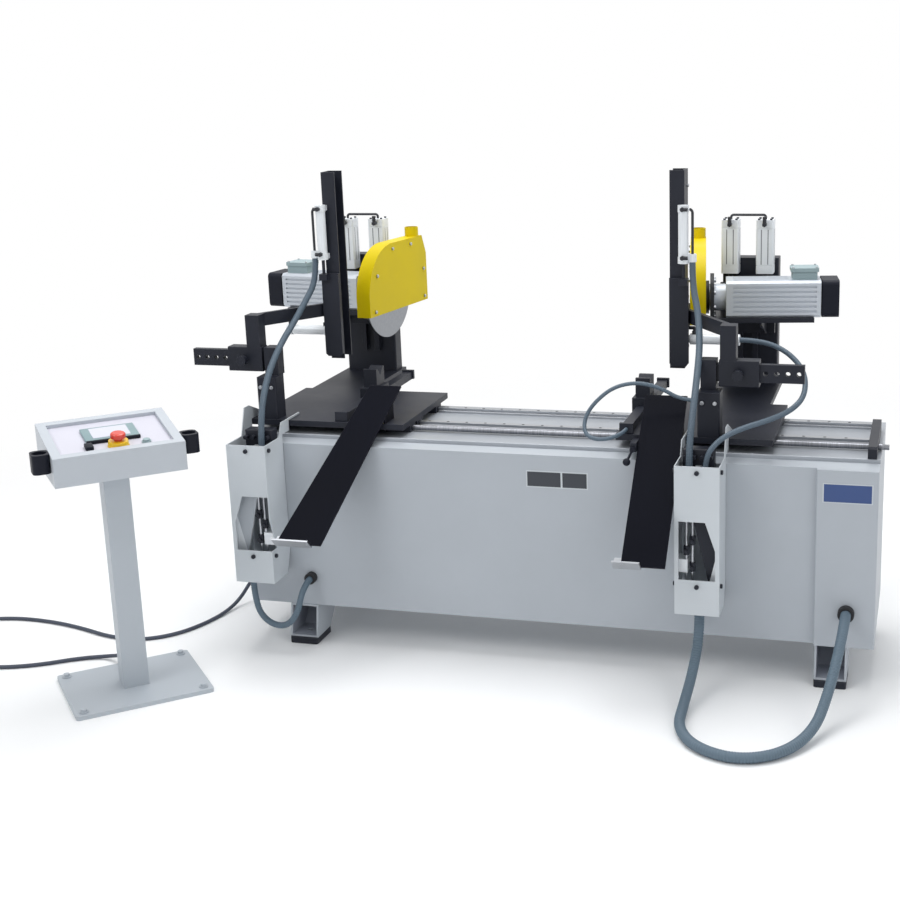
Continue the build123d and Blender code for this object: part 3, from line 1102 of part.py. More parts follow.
with BuildPart(PED) as console_panel:
    with BuildSketch(DESK.offset(-PANEL_SINK)) as face:
        Rectangle(PANEL_LENGTH, PANEL_DEPTH)
    extrude(face.sketch, amount=-PANEL_THICK)
    with BuildSketch(DESK.offset(-PANEL_SINK)) as collar:
        with Locations(ESTOP_AT):
            Circle(ESTOP_COLLAR / 2)
    extrude(collar.sketch, amount=ESTOP_COLLAR_HEIGHT, taper=12)
    with BuildSketch(DESK.offset(-PANEL_SINK)) as bore:
        with Locations(ESTOP_AT):
            Circle(ESTOP_STEM / 2 + RUNNING_FIT)
    extrude(bore.sketch, amount=ESTOP_COLLAR_HEIGHT + CLEAR, mode=Mode.SUBTRACT)
    for across in (-1, 1):
        with BuildSketch(PED.offset(SHROUD_TOP - SHROUD_HEIGHT)) as shroud:
            with Locations((across * SHROUD_X, SHROUD_Y)):
                RectangleRounded(SHROUD_WIDTH, SHROUD_LENGTH, SHROUD_RADIUS)
        extrude(shroud.sketch, amount=SHROUD_HEIGHT)
        bar_z(SHROUD_TOP - START_POCKET, SHROUD_TOP + CLEAR, across * SHROUD_X, SHROUD_Y, START_DIA + 8,
              mode=Mode.SUBTRACT)
        bar_z(SHROUD_TOP - START_POCKET - 22, SHROUD_TOP, across * SHROUD_X, SHROUD_Y, 16 + 2 * RUNNING_FIT,
              mode=Mode.SUBTRACT)
save(console_panel, "console_panel")

with BuildPart() as estop_button:
    top = ESTOP_COLLAR_HEIGHT - PANEL_SINK
    with BuildSketch(DESK.offset(top - 10)) as stem:
        with Locations(ESTOP_AT):
            Circle(ESTOP_STEM / 2)
    extrude(stem.sketch, amount=10 + ESTOP_GAP)
    with BuildSketch(DESK.offset(top + ESTOP_GAP)) as cap:
        with Locations(ESTOP_AT):
            Circle(ESTOP_DIA / 2)
    extrude(cap.sketch, amount=ESTOP_CAP)
    fillet(estop_button.faces().sort_by(Axis.Z)[-1].edges(), radius=6)
save(estop_button, "estop_button")

for across, name in ((-1, "left_start_button"), (1, "right_start_button")):
    with BuildPart(PED) as start_button:
        floor = SHROUD_TOP - START_POCKET
        bar_z(floor - 12, floor + 8, across * SHROUD_X, SHROUD_Y, 16)
        bar_z(floor + 7, floor + 17, across * SHROUD_X, SHROUD_Y, START_DIA)
        fillet(start_button.faces().sort_by(Axis.Z)[-1].edges(), radius=3)
    save(start_button, name)

# Glands where hoses and the cable enter a housing
PED_BACK = PED_TUBE / 2
CABLE_END = PED.from_local_coords(Vector(0, PED_BACK, CABLE_ENTRY_Z))

with BuildPart() as hose_glands:
    for origin, normal, dia in (
        ((FLOOR_HOSE_X, BASE_FRONT - COLUMN_PROUD, FLOOR_HOSE_Z), (0, -1, 0), FLOOR_HOSE),
        ((TOWER_HOSE_X, BASE_FRONT, TOWER_HOSE_Z), (0, -1, 0), TOWER_HOSE),
        ((BASE_LEFT, CABLE_EXIT_Y, CABLE_EXIT_Z), (-1, 0, 0), CABLE),
        (CABLE_END, PED.y_dir, CABLE),
    ):
        with BuildSketch(Plane(origin=origin, z_dir=normal)) as ring:
            Circle(dia / 2 + GLAND_WALL)
            Circle(dia / 2 + SLIDE_GAP, mode=Mode.SUBTRACT)
        extrude(ring.sketch, amount=GLAND_LENGTH)
save(hose_glands, "hose_glands")

# Cords
FLOOR = 0.2
with BuildPart() as right_floor_hose:
    low = FLOOR_HOSE / 2 + FLOOR
    expected = hose([
        (RIGHT.x(RIGHT.hose_u), HOSE_Y, TOWER_BOTTOM + 8),
        (RIGHT.x(RIGHT.hose_u), HOSE_Y, 150),
        (RIGHT.x(55), -385, 65),
        (RIGHT.x(48), -500, 20),
        (RIGHT.x(52), -620, low),
        (RIGHT.x(115), -725, low),
        (RIGHT.x(230), -770, low),
        (RIGHT.x(342), -712, low),
        (RIGHT.x(410), -590, 28),
        (RIGHT.x(438), -480, 92),
        (RIGHT.x(458), -398, 178),
        (FLOOR_HOSE_X, -325, FLOOR_HOSE_Z),
        (FLOOR_HOSE_X, BASE_FRONT - COLUMN_PROUD, FLOOR_HOSE_Z),
    ], FLOOR_HOSE)
print("right_floor_hose", round(right_floor_hose.part.volume / expected, 3))
save(right_floor_hose, "right_floor_hose")

with BuildPart() as left_tower_hose:
    expected = hose([
        (LEFT.x(LEFT.hose_u), HOSE_Y, TOWER_BOTTOM + 8),
        (LEFT.x(LEFT.hose_u), HOSE_Y, 140),
        (BASE_LEFT + 80, -318, 88),
        (BASE_LEFT + 149, -334, 84),
        (BASE_LEFT + 192, -338, 132),
        (BASE_LEFT + 198, -312, 190),
        (TOWER_HOSE_X, -262, TOWER_HOSE_Z),
        (TOWER_HOSE_X, BASE_FRONT, TOWER_HOSE_Z),
    ], TOWER_HOSE)
print("left_tower_hose", round(left_tower_hose.part.volume / expected, 3))
save(left_tower_hose, "left_tower_hose")

with BuildPart() as control_cable:
    low = CABLE / 2 + FLOOR
    expected = hose([
        (BASE_LEFT, CABLE_EXIT_Y, CABLE_EXIT_Z),
        (BASE_LEFT - 60, CABLE_EXIT_Y, CABLE_EXIT_Z),
        (BASE_LEFT - 115, 56, 128),
        (BASE_LEFT - 153, 40, 70),
        (BASE_LEFT - 175, 0, 24),
        (BASE_LEFT - 188, -75, 7),
        (BASE_LEFT - 210, -180, low),
        (BASE_LEFT - 260, -285, low),
        (BASE_LEFT - 350, -350, low),
        (BASE_LEFT - 465, -345, low),
        (BASE_LEFT - 585, -300, low),
        (BASE_LEFT - 715, -268, low),
        (BASE_LEFT - 855, -262, low),
        (BASE_LEFT - 970, -300, low),
        (BASE_LEFT - 1025, -400, low),
        (BASE_LEFT - 1000, -515, low),
        (BASE_LEFT - 910, -600, low),
        (BASE_LEFT - 790, -640, low),
        (BASE_LEFT - 665, -632, low),
        (BASE_LEFT - 560, -590, low),
        (BASE_LEFT - 465, -520, low),
        (BASE_LEFT - 385, -490, 8),
        (BASE_LEFT - 325, -510, 24),
        PED.from_local_coords(Vector(0, PED_BACK + 80, CABLE_ENTRY_Z)),
        CABLE_END,
    ], CABLE)
print("control_cable", round(control_cable.part.volume / expected, 3))
save(control_cable, "control_cable")

for head in HEADS:
    with BuildPart() as post_hose:
        expected = hose([
            (head.x(POST_OUTER_U + 27), GATE_CYL_Y, GATE_CYL_BOTTOM + 5),
            (head.x(POST_OUTER_U + 27), GATE_CYL_Y, 1100),
            (head.x(8), 20, 1030),
            (head.x(18), -35, 966),
            (head.x(20), -110, 908),
            (head.x(20), -200, 842),
            (head.x(24), -272, 770),
            (head.x(34), -310, 700),
            (head.x(34), -310, MANIFOLD_TOP),
        ], POST_HOSE)
    print(head.name, "post hose", round(post_hose.part.volume / expected, 3))
    save(post_hose, f"{head.name}_post_hose")

with BuildPart() as right_loop_hose:
    expected = hose([
        (RIGHT.x(POST_OUTER_U + ESCAPE_NOSE + ESCAPE_LENGTH), POST_Y, ESCAPE_Z),
        (RIGHT.x(182), POST_Y, ESCAPE_Z),
        (RIGHT.x(260), 92, 900),
        (RIGHT.x(317), 40, 852),
        (RIGHT.x(326), -40, 800),
        (RIGHT.x(296), -125, 775),
        (RIGHT.x(238), -200, 762),
        (RIGHT.x(172), -258, 752),
        (RIGHT.x(116), -292, 728),
        (RIGHT.x(78), -311, 680),
        (RIGHT.x(78), -311, MANIFOLD_TOP),
    ], LOOP_HOSE)
print("right_loop_hose", round(right_loop_hose.part.volume / expected, 3))
save(right_loop_hose, "right_loop_hose")

with BuildPart() as right_feed_hose:
    expected = hose([
        (RIGHT.x(MAG_COLUMN_U0), -150, 800),
        (RIGHT.x(-14), -150, 800),
        (RIGHT.x(-74), -156, 836),
        (RIGHT.x(-138), -168, 852),
        (RIGHT.x(-202), -184, 840),
        (RIGHT.x(-252), -198, 800),
        (RIGHT.x(-283), -204, 755),
        (RIGHT.x(-280), -236, 715),
        (RIGHT.x(-245), -262, 703),
        (RIGHT.x(-202), -262, 706),
        (RIGHT.x(FEED_U), -214, HEAD_TOP + 13),
        (RIGHT.x(FEED_U), GUIDE_FRONT - CAP_LENGTH, HEAD_TOP + 13),
    ], FEED_HOSE)
print("right_feed_hose", round(right_feed_hose.part.volume / expected, 3))
save(right_feed_hose, "right_feed_hose")
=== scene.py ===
"""Looks of the chair leg sizing machine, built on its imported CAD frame.

Every length is in metres, in the CAD's own frame: +X along the bed to the right, +Y to the back,
+Z up. Places of details repeat the sizes of the CAD pieces that they sit on.
"""

import logging
import math
from dataclasses import dataclass, field
from enum import Enum
from typing import Callable, Optional, Sequence, Union

import bmesh
import bpy
from mathutils import Matrix, Vector


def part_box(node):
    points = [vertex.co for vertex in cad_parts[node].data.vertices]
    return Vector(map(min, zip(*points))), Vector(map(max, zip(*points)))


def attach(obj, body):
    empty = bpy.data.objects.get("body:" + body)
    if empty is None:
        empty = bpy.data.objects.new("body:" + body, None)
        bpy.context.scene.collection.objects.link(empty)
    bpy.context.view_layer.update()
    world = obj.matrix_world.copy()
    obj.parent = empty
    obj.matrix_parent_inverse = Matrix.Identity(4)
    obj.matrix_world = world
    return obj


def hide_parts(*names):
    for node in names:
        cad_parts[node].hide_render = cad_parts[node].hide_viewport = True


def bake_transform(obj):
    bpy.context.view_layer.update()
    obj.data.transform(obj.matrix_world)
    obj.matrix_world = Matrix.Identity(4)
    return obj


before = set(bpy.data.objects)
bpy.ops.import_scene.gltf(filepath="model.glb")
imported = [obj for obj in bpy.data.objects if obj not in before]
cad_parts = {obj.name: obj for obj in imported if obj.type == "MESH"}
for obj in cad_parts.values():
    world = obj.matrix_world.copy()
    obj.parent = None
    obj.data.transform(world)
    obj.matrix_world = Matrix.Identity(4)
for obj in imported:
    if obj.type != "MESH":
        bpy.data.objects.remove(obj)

logging.basicConfig(level=logging.INFO, format="%(name)s: %(message)s")
log = logging.getLogger("scene")

Color = tuple[float, float, float]
Point = tuple[float, float, float]
Rgba = tuple[float, float, float, float]
Span = tuple[float, float]
Node = bpy.types.Node
Socket = bpy.types.NodeSocket

SMOOTH_ANGLE = math.radians(32)


class Body(str, Enum):
    """CAD bodies that added pieces ride on."""

    BASE = "base"
    RIGHT_HEAD = "right_head"
    LEFT_GALLOWS = "left_gallows"
    RIGHT_GALLOWS = "right_gallows"
    LEFT_SAW = "left_saw"
    RIGHT_SAW = "right_saw"


def srgb(red: int, green: int, blue: int) -> Color:
    """Turns a screen colour into a linear one, by the curve of the sRGB standard.

    Args:
        red: Red from 0 to 255.
        green: Green from 0 to 255.
        blue: Blue from 0 to 255.

    Returns:
        The linear colour.
    """

    def linear(level: int) -> float:
        share = level / 255
        return share / 12.92 if share <= 0.04045 else ((share + 0.055) / 1.055) ** 2.4

    return linear(red), linear(green), linear(blue)


def within(value: float, span: Span) -> bool:
    """Tells whether a value lies between two limits."""
    return span[0] < value < span[1]


class Graph:
    """The node tree of a material or a world, with short calls for adding nodes."""

    def __init__(self, owner: bpy.types.ID) -> None:
        """Starts an empty tree.

        Args:
            owner: The new material or world.
        """
        self.owner = owner
        owner.use_nodes = True
        self.tree = owner.node_tree
        self.tree.nodes.clear()

    def add(self, kind: str, inputs: Optional[dict] = None, **settings: object) -> Node:
        """Adds a node.

        Args:
            kind: The node's type name without its "ShaderNode" start.
            inputs: Values or output sockets by input name or number.
            **settings: Properties of the node.

        Returns:
            The new node.
        """
        node = self.tree.nodes.new("ShaderNode" + kind)
        for key, value in settings.items():
            setattr(node, key, value)
        for key, value in (inputs or {}).items():
            if isinstance(value, Socket):
                self.tree.links.new(value, node.inputs[key])
            else:
                node.inputs[key].default_value = value
        return node

    def mix(self, share: Socket, first: Union[Rgba, Socket], second: Rgba) -> Socket:
        """Mixes two colours, by the second one's share."""
        return self.add("Mix", {0: share, 6: first, 7: second}, data_type="RGBA").outputs[2]

    def spread(self, value: Socket, span: Span, onto: Span) -> Socket:
        """Maps a value from one range onto another, held at both ends."""
        inputs = {0: value, 1: span[0], 2: span[1], 3: onto[0], 4: onto[1]}
        return self.add("MapRange", inputs).outputs[0]

    def seen(self) -> Socket:
        """Tells the rays that show the backdrop: from the camera, off a shine or through glass.

        Returns:
            A socket that is 1 for those rays and 0 for light that falls on the object.
        """
        path = self.add("LightPath").outputs
        either = self.add("Math", {0: path["Is Camera Ray"], 1: path["Is Glossy Ray"]},
                          operation="MAXIMUM")
        return self.add("Math", {0: either.outputs[0], 1: path["Is Transmission Ray"]},
                        operation="MAXIMUM").outputs[0]

    def blend(self, share: Socket, first: Node, second: Node) -> Node:
        """Mixes two shaders, by the second one's share."""
        return self.add("MixShader", {0: share, 1: first.outputs[0], 2: second.outputs[0]})

    def finish(self, shader: Node) -> bpy.types.ID:
        """Joins a shader to the output, and returns the finished material or world."""
        kind = "OutputWorld" if isinstance(self.owner, bpy.types.World) else "OutputMaterial"
        self.add(kind, {"Surface": shader.outputs[0]})
        return self.owner


CLOUD = {"Scale": 3.5, "Detail": 5.0, "Roughness": 0.62}
CLOUD_SPAN = (0.35, 0.65)
GLOSS_SPAN = (0.3, 0.7)
GLOSS_DRIFT = 0.12
GRAIN_DETAIL = 3.0
STREAK_SPAN = (0.4, 0.62)
STREAK_SHARE = (0.75, 0.0)
SCUFF = {"Scale": 45.0, "Detail": 4.0}
SCUFF_SPAN = (0.42, 0.62)
SCUFF_SHARE = (0.15, 0.9)
EDGE_SPAN = (0.99, 0.86)
BUMP_STRENGTH = 0.6
COAT_ROUGH = 0.12
WHOLE = (0.0, 1.0)


@dataclass(frozen=True)
class Finish:
    """How one kind of surface looks, with its material slot of the record, which is not used.

    Mottle is the share by which the colour drifts, grain the stretch of the fine grain along X, Y
    and Z, bump its height and streak the share by which it shows as colour. Edge is the radius of
    softened edges, and the edge colour is laid on them, broken up by noise, partly as wear and partly
    as a painted highlight. Coat is the weight of a clear top layer, and shine the strength of the
    mirror reflection, 0.5 on most plastics and paints.
    """

    name: str
    slot: str
    color: Color
    rough: float
    metallic: float = 0.0
    mottle: float = 0.04
    grain: Point = (1.0, 1.0, 1.0)
    grain_scale: float = 400.0
    bump: float = 0.00004
    edge: float = 0.0012
    edge_wear_and_highlight_color: Optional[Color] = None
    coat: float = 0.0
    streak: float = 0.0
    shine: float = 0.5

    def scaled(self, share: float) -> Rgba:
        """Its colour, darker or lighter."""
        red, green, blue = (min(1.0, level * share) for level in self.color)
        return red, green, blue, 1.0

    def material(self) -> bpy.types.Material:
        """Makes the material, or returns the one made before.

        Returns:
            The material.
        """
        made = bpy.data.materials.get(self.name)
        if made:
            return made
        g = Graph(bpy.data.materials.new(self.name))
        place = g.add("TexCoord").outputs["Object"]
        cloud = g.add("TexNoise", {"Vector": place, **CLOUD}).outputs[0]
        laid = g.add("Mapping", {"Vector": place, "Scale": self.grain}).outputs[0]
        grain = g.add("TexNoise", {"Vector": laid, "Scale": self.grain_scale,
                                   "Detail": GRAIN_DETAIL}).outputs[0]
        color = g.mix(g.spread(cloud, CLOUD_SPAN, WHOLE), self.scaled(1 - self.mottle),
                      self.scaled(1 + self.mottle))
        if self.streak:
            color = g.mix(g.spread(grain, STREAK_SPAN, STREAK_SHARE), color,
                          self.scaled(1 - self.streak))
        bevel = g.add("Bevel", {"Radius": self.edge}, samples=4).outputs[0]
        # The edge colour on softened edges is partly wear and partly a painted highlight, broken up by
        # noise.
        if self.edge_wear_and_highlight_color:
            flat = g.add("NewGeometry").outputs["Normal"]
            along = g.add("VectorMath", {0: bevel, 1: flat}, operation="DOT_PRODUCT").outputs["Value"]
            scuff = g.add("TexNoise", {"Vector": place, **SCUFF}).outputs[0]
            wear_and_highlight = g.add("Math", {0: g.spread(along, EDGE_SPAN, WHOLE),
                                  1: g.spread(scuff, SCUFF_SPAN, SCUFF_SHARE)}, operation="MULTIPLY")
            color = g.mix(wear_and_highlight.outputs[0], color, (*self.edge_wear_and_highlight_color, 1.0))
        normal = g.add("Bump", {"Strength": BUMP_STRENGTH, "Distance": self.bump, "Height": grain,
                                "Normal": bevel}).outputs[0]
        gloss = (self.rough * (1 - GLOSS_DRIFT), min(1.0, self.rough * (1 + GLOSS_DRIFT)))
        shader = g.add("BsdfPrincipled", {
            "Base Color": color,
            "Metallic": self.metallic,
            "Roughness": g.spread(cloud, GLOSS_SPAN, gloss),
            "Normal": normal,
            "Coat Weight": self.coat,
            "Coat Roughness": COAT_ROUGH,
            "Specular IOR Level": self.shine,
        })
        log.info("finish %s", self.name)
        return g.finish(shader)


def enamel(name: str, slot: str, color: Color, mottle: float = 0.018) -> Finish:
    """A powder coat's finish."""
    return Finish(name, slot, color, rough=0.46, mottle=mottle, bump=0.00006, coat=0.08)


CABINET = enamel("cabinet_enamel", "cabinet_paint", srgb(174, 180, 187), mottle=0.02)
PANEL = enamel("panel_enamel", "panel_paint", srgb(199, 205, 210))
STAND = enamel("stand_enamel", "panel_paint", srgb(178, 185, 192))
CONSOLE = enamel("console_enamel", "panel_paint", srgb(188, 194, 201))
# Painted shade: the cabinet's paint made darker, laid on the foot brackets' inner walls where shade
# falls.
BRACKET_PAINTED_SHADE = Finish("bracket_inside_painted_shade", "cabinet_paint", srgb(150, 155, 166), rough=0.6)
DESK = Finish("panel_film", "panel_paint", srgb(206, 205, 216), rough=0.42, mottle=0.02, coat=0.1)
# The light edge colours of the black oxide and the chute are partly wear, partly a painted highlight
# on every softened edge.
BLACK = Finish("oxide_coat", "black_oxide", srgb(31, 34, 44), rough=0.46, mottle=0.14,
               edge_wear_and_highlight_color=srgb(84, 86, 94), edge=0.0014, shine=0.28)
CHUTE = Finish("chute_black", "black_oxide", srgb(11, 13, 23), rough=0.42, mottle=0.12,
               grain=(1.0, 0.06, 0.06), edge_wear_and_highlight_color=srgb(104, 104, 112), streak=0.15, shine=0.06)
STEEL = Finish("ground_steel", "machined_steel", srgb(178, 181, 186), rough=0.3, metallic=1.0,
               mottle=0.07, grain=(0.03, 1.0, 1.0), grain_scale=900.0, streak=0.18)
BED = Finish("bed_ground", "machined_steel", srgb(170, 175, 182), rough=0.4, metallic=0.35,
             mottle=0.05, grain=(0.03, 1.0, 1.0), grain_scale=900.0, streak=0.1)
SCREW = Finish("rolled_thread", "screw_steel", srgb(138, 140, 146), rough=0.34, metallic=1.0,
               mottle=0.1, grain=(5.0, 0.2, 0.2), grain_scale=60.0, bump=0.0006, streak=0.4)
BLADE = Finish("ground_blade", "blade_steel", srgb(150, 153, 158), rough=0.32, metallic=1.0,
               mottle=0.05, grain=(1.0, 0.3, 0.3), streak=0.08)
YELLOW = Finish("guard_yellow", "guard_paint", srgb(216, 192, 0), rough=0.42, mottle=0.03, shine=0.18)
ALLOY = Finish("extruded_alloy", "motor_alloy", srgb(198, 204, 212), rough=0.44, metallic=0.3,
               mottle=0.06, bump=0.0001)
TEAL = Finish("terminal_teal", "motor_alloy", srgb(150, 170, 174), rough=0.45)
CYLINDER = Finish("anodised_alloy", "cylinder_alloy", srgb(236, 240, 244), rough=0.38, metallic=0.12,
                  mottle=0.03, grain=(1.0, 1.0, 0.03), streak=0.06)
PLATE_PALE = Finish("plate_pale", "cylinder_alloy", srgb(196, 202, 206), rough=0.36, metallic=0.3,
                    mottle=0.02, edge=0.0003)
RUBBER = Finish("moulded_rubber", "black_rubber", srgb(32, 33, 36), rough=0.7, mottle=0.1, edge=0.0008)
RED = Finish("stop_button_red", "stop_red", srgb(214, 50, 24), rough=0.26, mottle=0.02, coat=0.6)
COLLAR = Finish("stop_collar_yellow", "stop_red", srgb(240, 196, 20), rough=0.35, mottle=0.02,
                coat=0.3)
PLASTIC = Finish("black_plastic", "button_plastic", srgb(22, 25, 36), rough=0.5, mottle=0.06,
                 edge=0.0015, shine=0.18)
LINE = Finish("air_line_black", "button_plastic", srgb(30, 32, 40), rough=0.4, mottle=0.05,
              edge=0.0003)
BEZEL = Finish("display_bezel", "button_plastic", srgb(128, 152, 156), rough=0.4, mottle=0.03)
SCREEN = Finish("display_screen", "button_plastic", srgb(206, 208, 222), rough=0.12, mottle=0.02,
                coat=0.8, edge=0.0003)
PLATE_DARK = Finish("plate_dark", "button_plastic", srgb(52, 56, 64), rough=0.4, mottle=0.03,
                    edge=0.0003)
PLATE_BLUE = Finish("plate_blue", "button_plastic", srgb(52, 76, 128), rough=0.36, mottle=0.03,
                    edge=0.0003)
HOSE = Finish("conduit_grey", "hose_plastic", srgb(92, 110, 124), rough=0.5, mottle=0.06, edge=0.0004)
CABLE = Finish("cable_sheath", "cable_rubber", srgb(62, 68, 82), rough=0.55, mottle=0.06, edge=0.0004)
TUBE = Finish("air_tube", "cable_rubber", srgb(84, 100, 114), rough=0.46, mottle=0.05, edge=0.0004)


def add_object(name: str, data: bpy.types.ID) -> bpy.types.Object:
    """Makes an object and puts it into the scene.

    Args:
        name: Its name.
        data: Its mesh, light or camera.

    Returns:
        The object.
    """
    made = bpy.data.objects.new(name, data)
    bpy.context.scene.collection.objects.link(made)
    return made


def smooth(mesh: bpy.types.Mesh) -> None:
    """Shades a mesh smooth, with its corners kept sharp."""
    mesh.shade_smooth()
    mesh.set_sharp_from_angle(angle=SMOOTH_ANGLE)


def dress(node: str, finish: Finish) -> None:
    """Gives a CAD node one finish.

    Args:
        node: The node's name.
        finish: Its finish.
    """
    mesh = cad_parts[node].data
    mesh.materials.clear()
    mesh.materials.append(finish.material())
    log.info("dressed %s in %s", node, finish.name)


def dress_where(node: str, finish: Finish, test: Callable[[Vector], bool]) -> None:
    """Gives some faces of a CAD node another finish.

    Args:
        node: The node's name, already dressed.
        finish: The finish of the chosen faces.
        test: True for the middle of a chosen face.
    """
    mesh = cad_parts[node].data
    mesh.materials.append(finish.material())
    index = len(mesh.materials) - 1
    for face in mesh.polygons:
        if test(face.center):
            face.material_index = index


ROUND, HEX = 24, 6
SCREW_SUNK = 0.0005
SCREW_SIDE = 0.8
SCREW_RIM = 0.86
SOCKET_SHARE = 0.5
SOCKET_TOP = 1.02


@dataclass(frozen=True)
class Rod:
    """A rod between two places, which run outwards, back and up from a point."""

    start: Point
    end: Point
    radius: float
    sides: int = ROUND


@dataclass(frozen=True)
class Block:
    """A block, with the radius of its edges. Its middle runs outwards, back and up from a point."""

    center: Point
    size: Point
    round_by: float = 0.0


Shapes = tuple[Union[Rod, Block], ...]


@dataclass
class Detail:
    """Simple shapes gathered into one mesh that rides on a body.

    Attributes:
        name: The object's name.
        body: The CAD body that it rides on.
        finish: Its finish.
        place: Where its own frame stands.
    """

    name: str
    body: Body
    finish: Finish
    place: Matrix = field(default_factory=lambda: Matrix.Identity(4))

    def __post_init__(self) -> None:
        """Starts an empty mesh."""
        self.mesh = bmesh.new()

    def block(self, center: Sequence[float], size: Sequence[float], round_by: float = 0.0) -> "Detail":
        """Adds a block.

        Args:
            center: Its middle.
            size: Its lengths along X, Y and Z.
            round_by: Radius of its edges.

        Returns:
            This detail.
        """
        shape = Matrix.Translation(center) @ Matrix.Diagonal((*size, 1.0))
        made = bmesh.ops.create_cube(self.mesh, size=1.0, matrix=self.place @ shape)["verts"]
        if round_by:
            edges = list({e for v in made for e in v.link_edges})
            bmesh.ops.bevel(self.mesh, geom=edges, offset=round_by, segments=3, affect="EDGES",
                            profile=0.5)
        return self

    def rod(self, start: Sequence[float], end: Sequence[float], radius: float,
            tip: Optional[float] = None, sides: int = ROUND) -> "Detail":
        """Adds a round or many-sided rod.

        Args:
            start: Middle of one end.
            end: Middle of the other end.
            radius: Radius at the start.
            tip: Radius at the end, if another.
            sides: Number of sides.

        Returns:
            This detail.
        """
        a, b = Vector(start), Vector(end)
        turn = (b - a).to_track_quat("Z", "Y").to_matrix().to_4x4()
        shape = Matrix.Translation((a + b) / 2) @ turn
        bmesh.ops.create_cone(self.mesh, cap_ends=True, segments=sides, radius1=radius,
                              radius2=radius if tip is None else tip, depth=(b - a).length,
                              matrix=self.place @ shape)
        return self

    def screw(self, at: Sequence[float], out: Sequence[float], radius: float) -> "Detail":
        """Adds a socket head screw.

        Args:
            at: Middle of its seat.
            out: The way that the head points.
            radius: Radius and height of the head.

        Returns:
            This detail.
        """
        base, way = Vector(at), Vector(out).normalized()
        rim, top = base + way * radius * SCREW_SIDE, base + way * radius
        self.rod(base - way * SCREW_SUNK, rim, radius)
        self.rod(rim, top, radius, radius * SCREW_RIM)
        return self.rod(top, base + way * (radius * SOCKET_TOP), radius * SOCKET_SHARE, sides=HEX)

    def shapes(self, shapes: Shapes, at: Point = (0.0, 0.0, 0.0), side: int = 1) -> "Detail":
        """Adds rods and blocks.

        Args:
            shapes: The rods and blocks.
            at: The point that their places run from.
            side: -1 where outwards is -X.

        Returns:
            This detail.
        """

        def put(place: Point) -> Point:
            return at[0] + side * place[0], at[1] + place[1], at[2] + place[2]

        for shape in shapes:
            if isinstance(shape, Rod):
                self.rod(put(shape.start), put(shape.end), shape.radius, sides=shape.sides)
            else:
                self.block(put(shape.center), shape.size, shape.round_by)
        return self

    def done(self) -> bpy.types.Object:
        """Makes the object.

        Returns:
            The object, riding on its body.
        """
        data = bpy.data.meshes.new(self.name)
        bmesh.ops.recalc_face_normals(self.mesh, faces=self.mesh.faces)
        self.mesh.to_mesh(data)
        self.mesh.free()
        smooth(data)
        data.materials.append(self.finish.material())
        made = add_object(self.name, data)
        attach(made, self.body.value)
        log.info("piece %s on %s", self.name, self.body.value)
        return made


SPLINE_ORDER = 3
SPLINE_STEPS = 12
TUBE_SIDES = 14
TUBE_STEP = 0.8
LEAST_RINGS = 8
STEEP = 0.9
RIB_PROFILE = (1.0, 0.96, 0.84, 0.96)


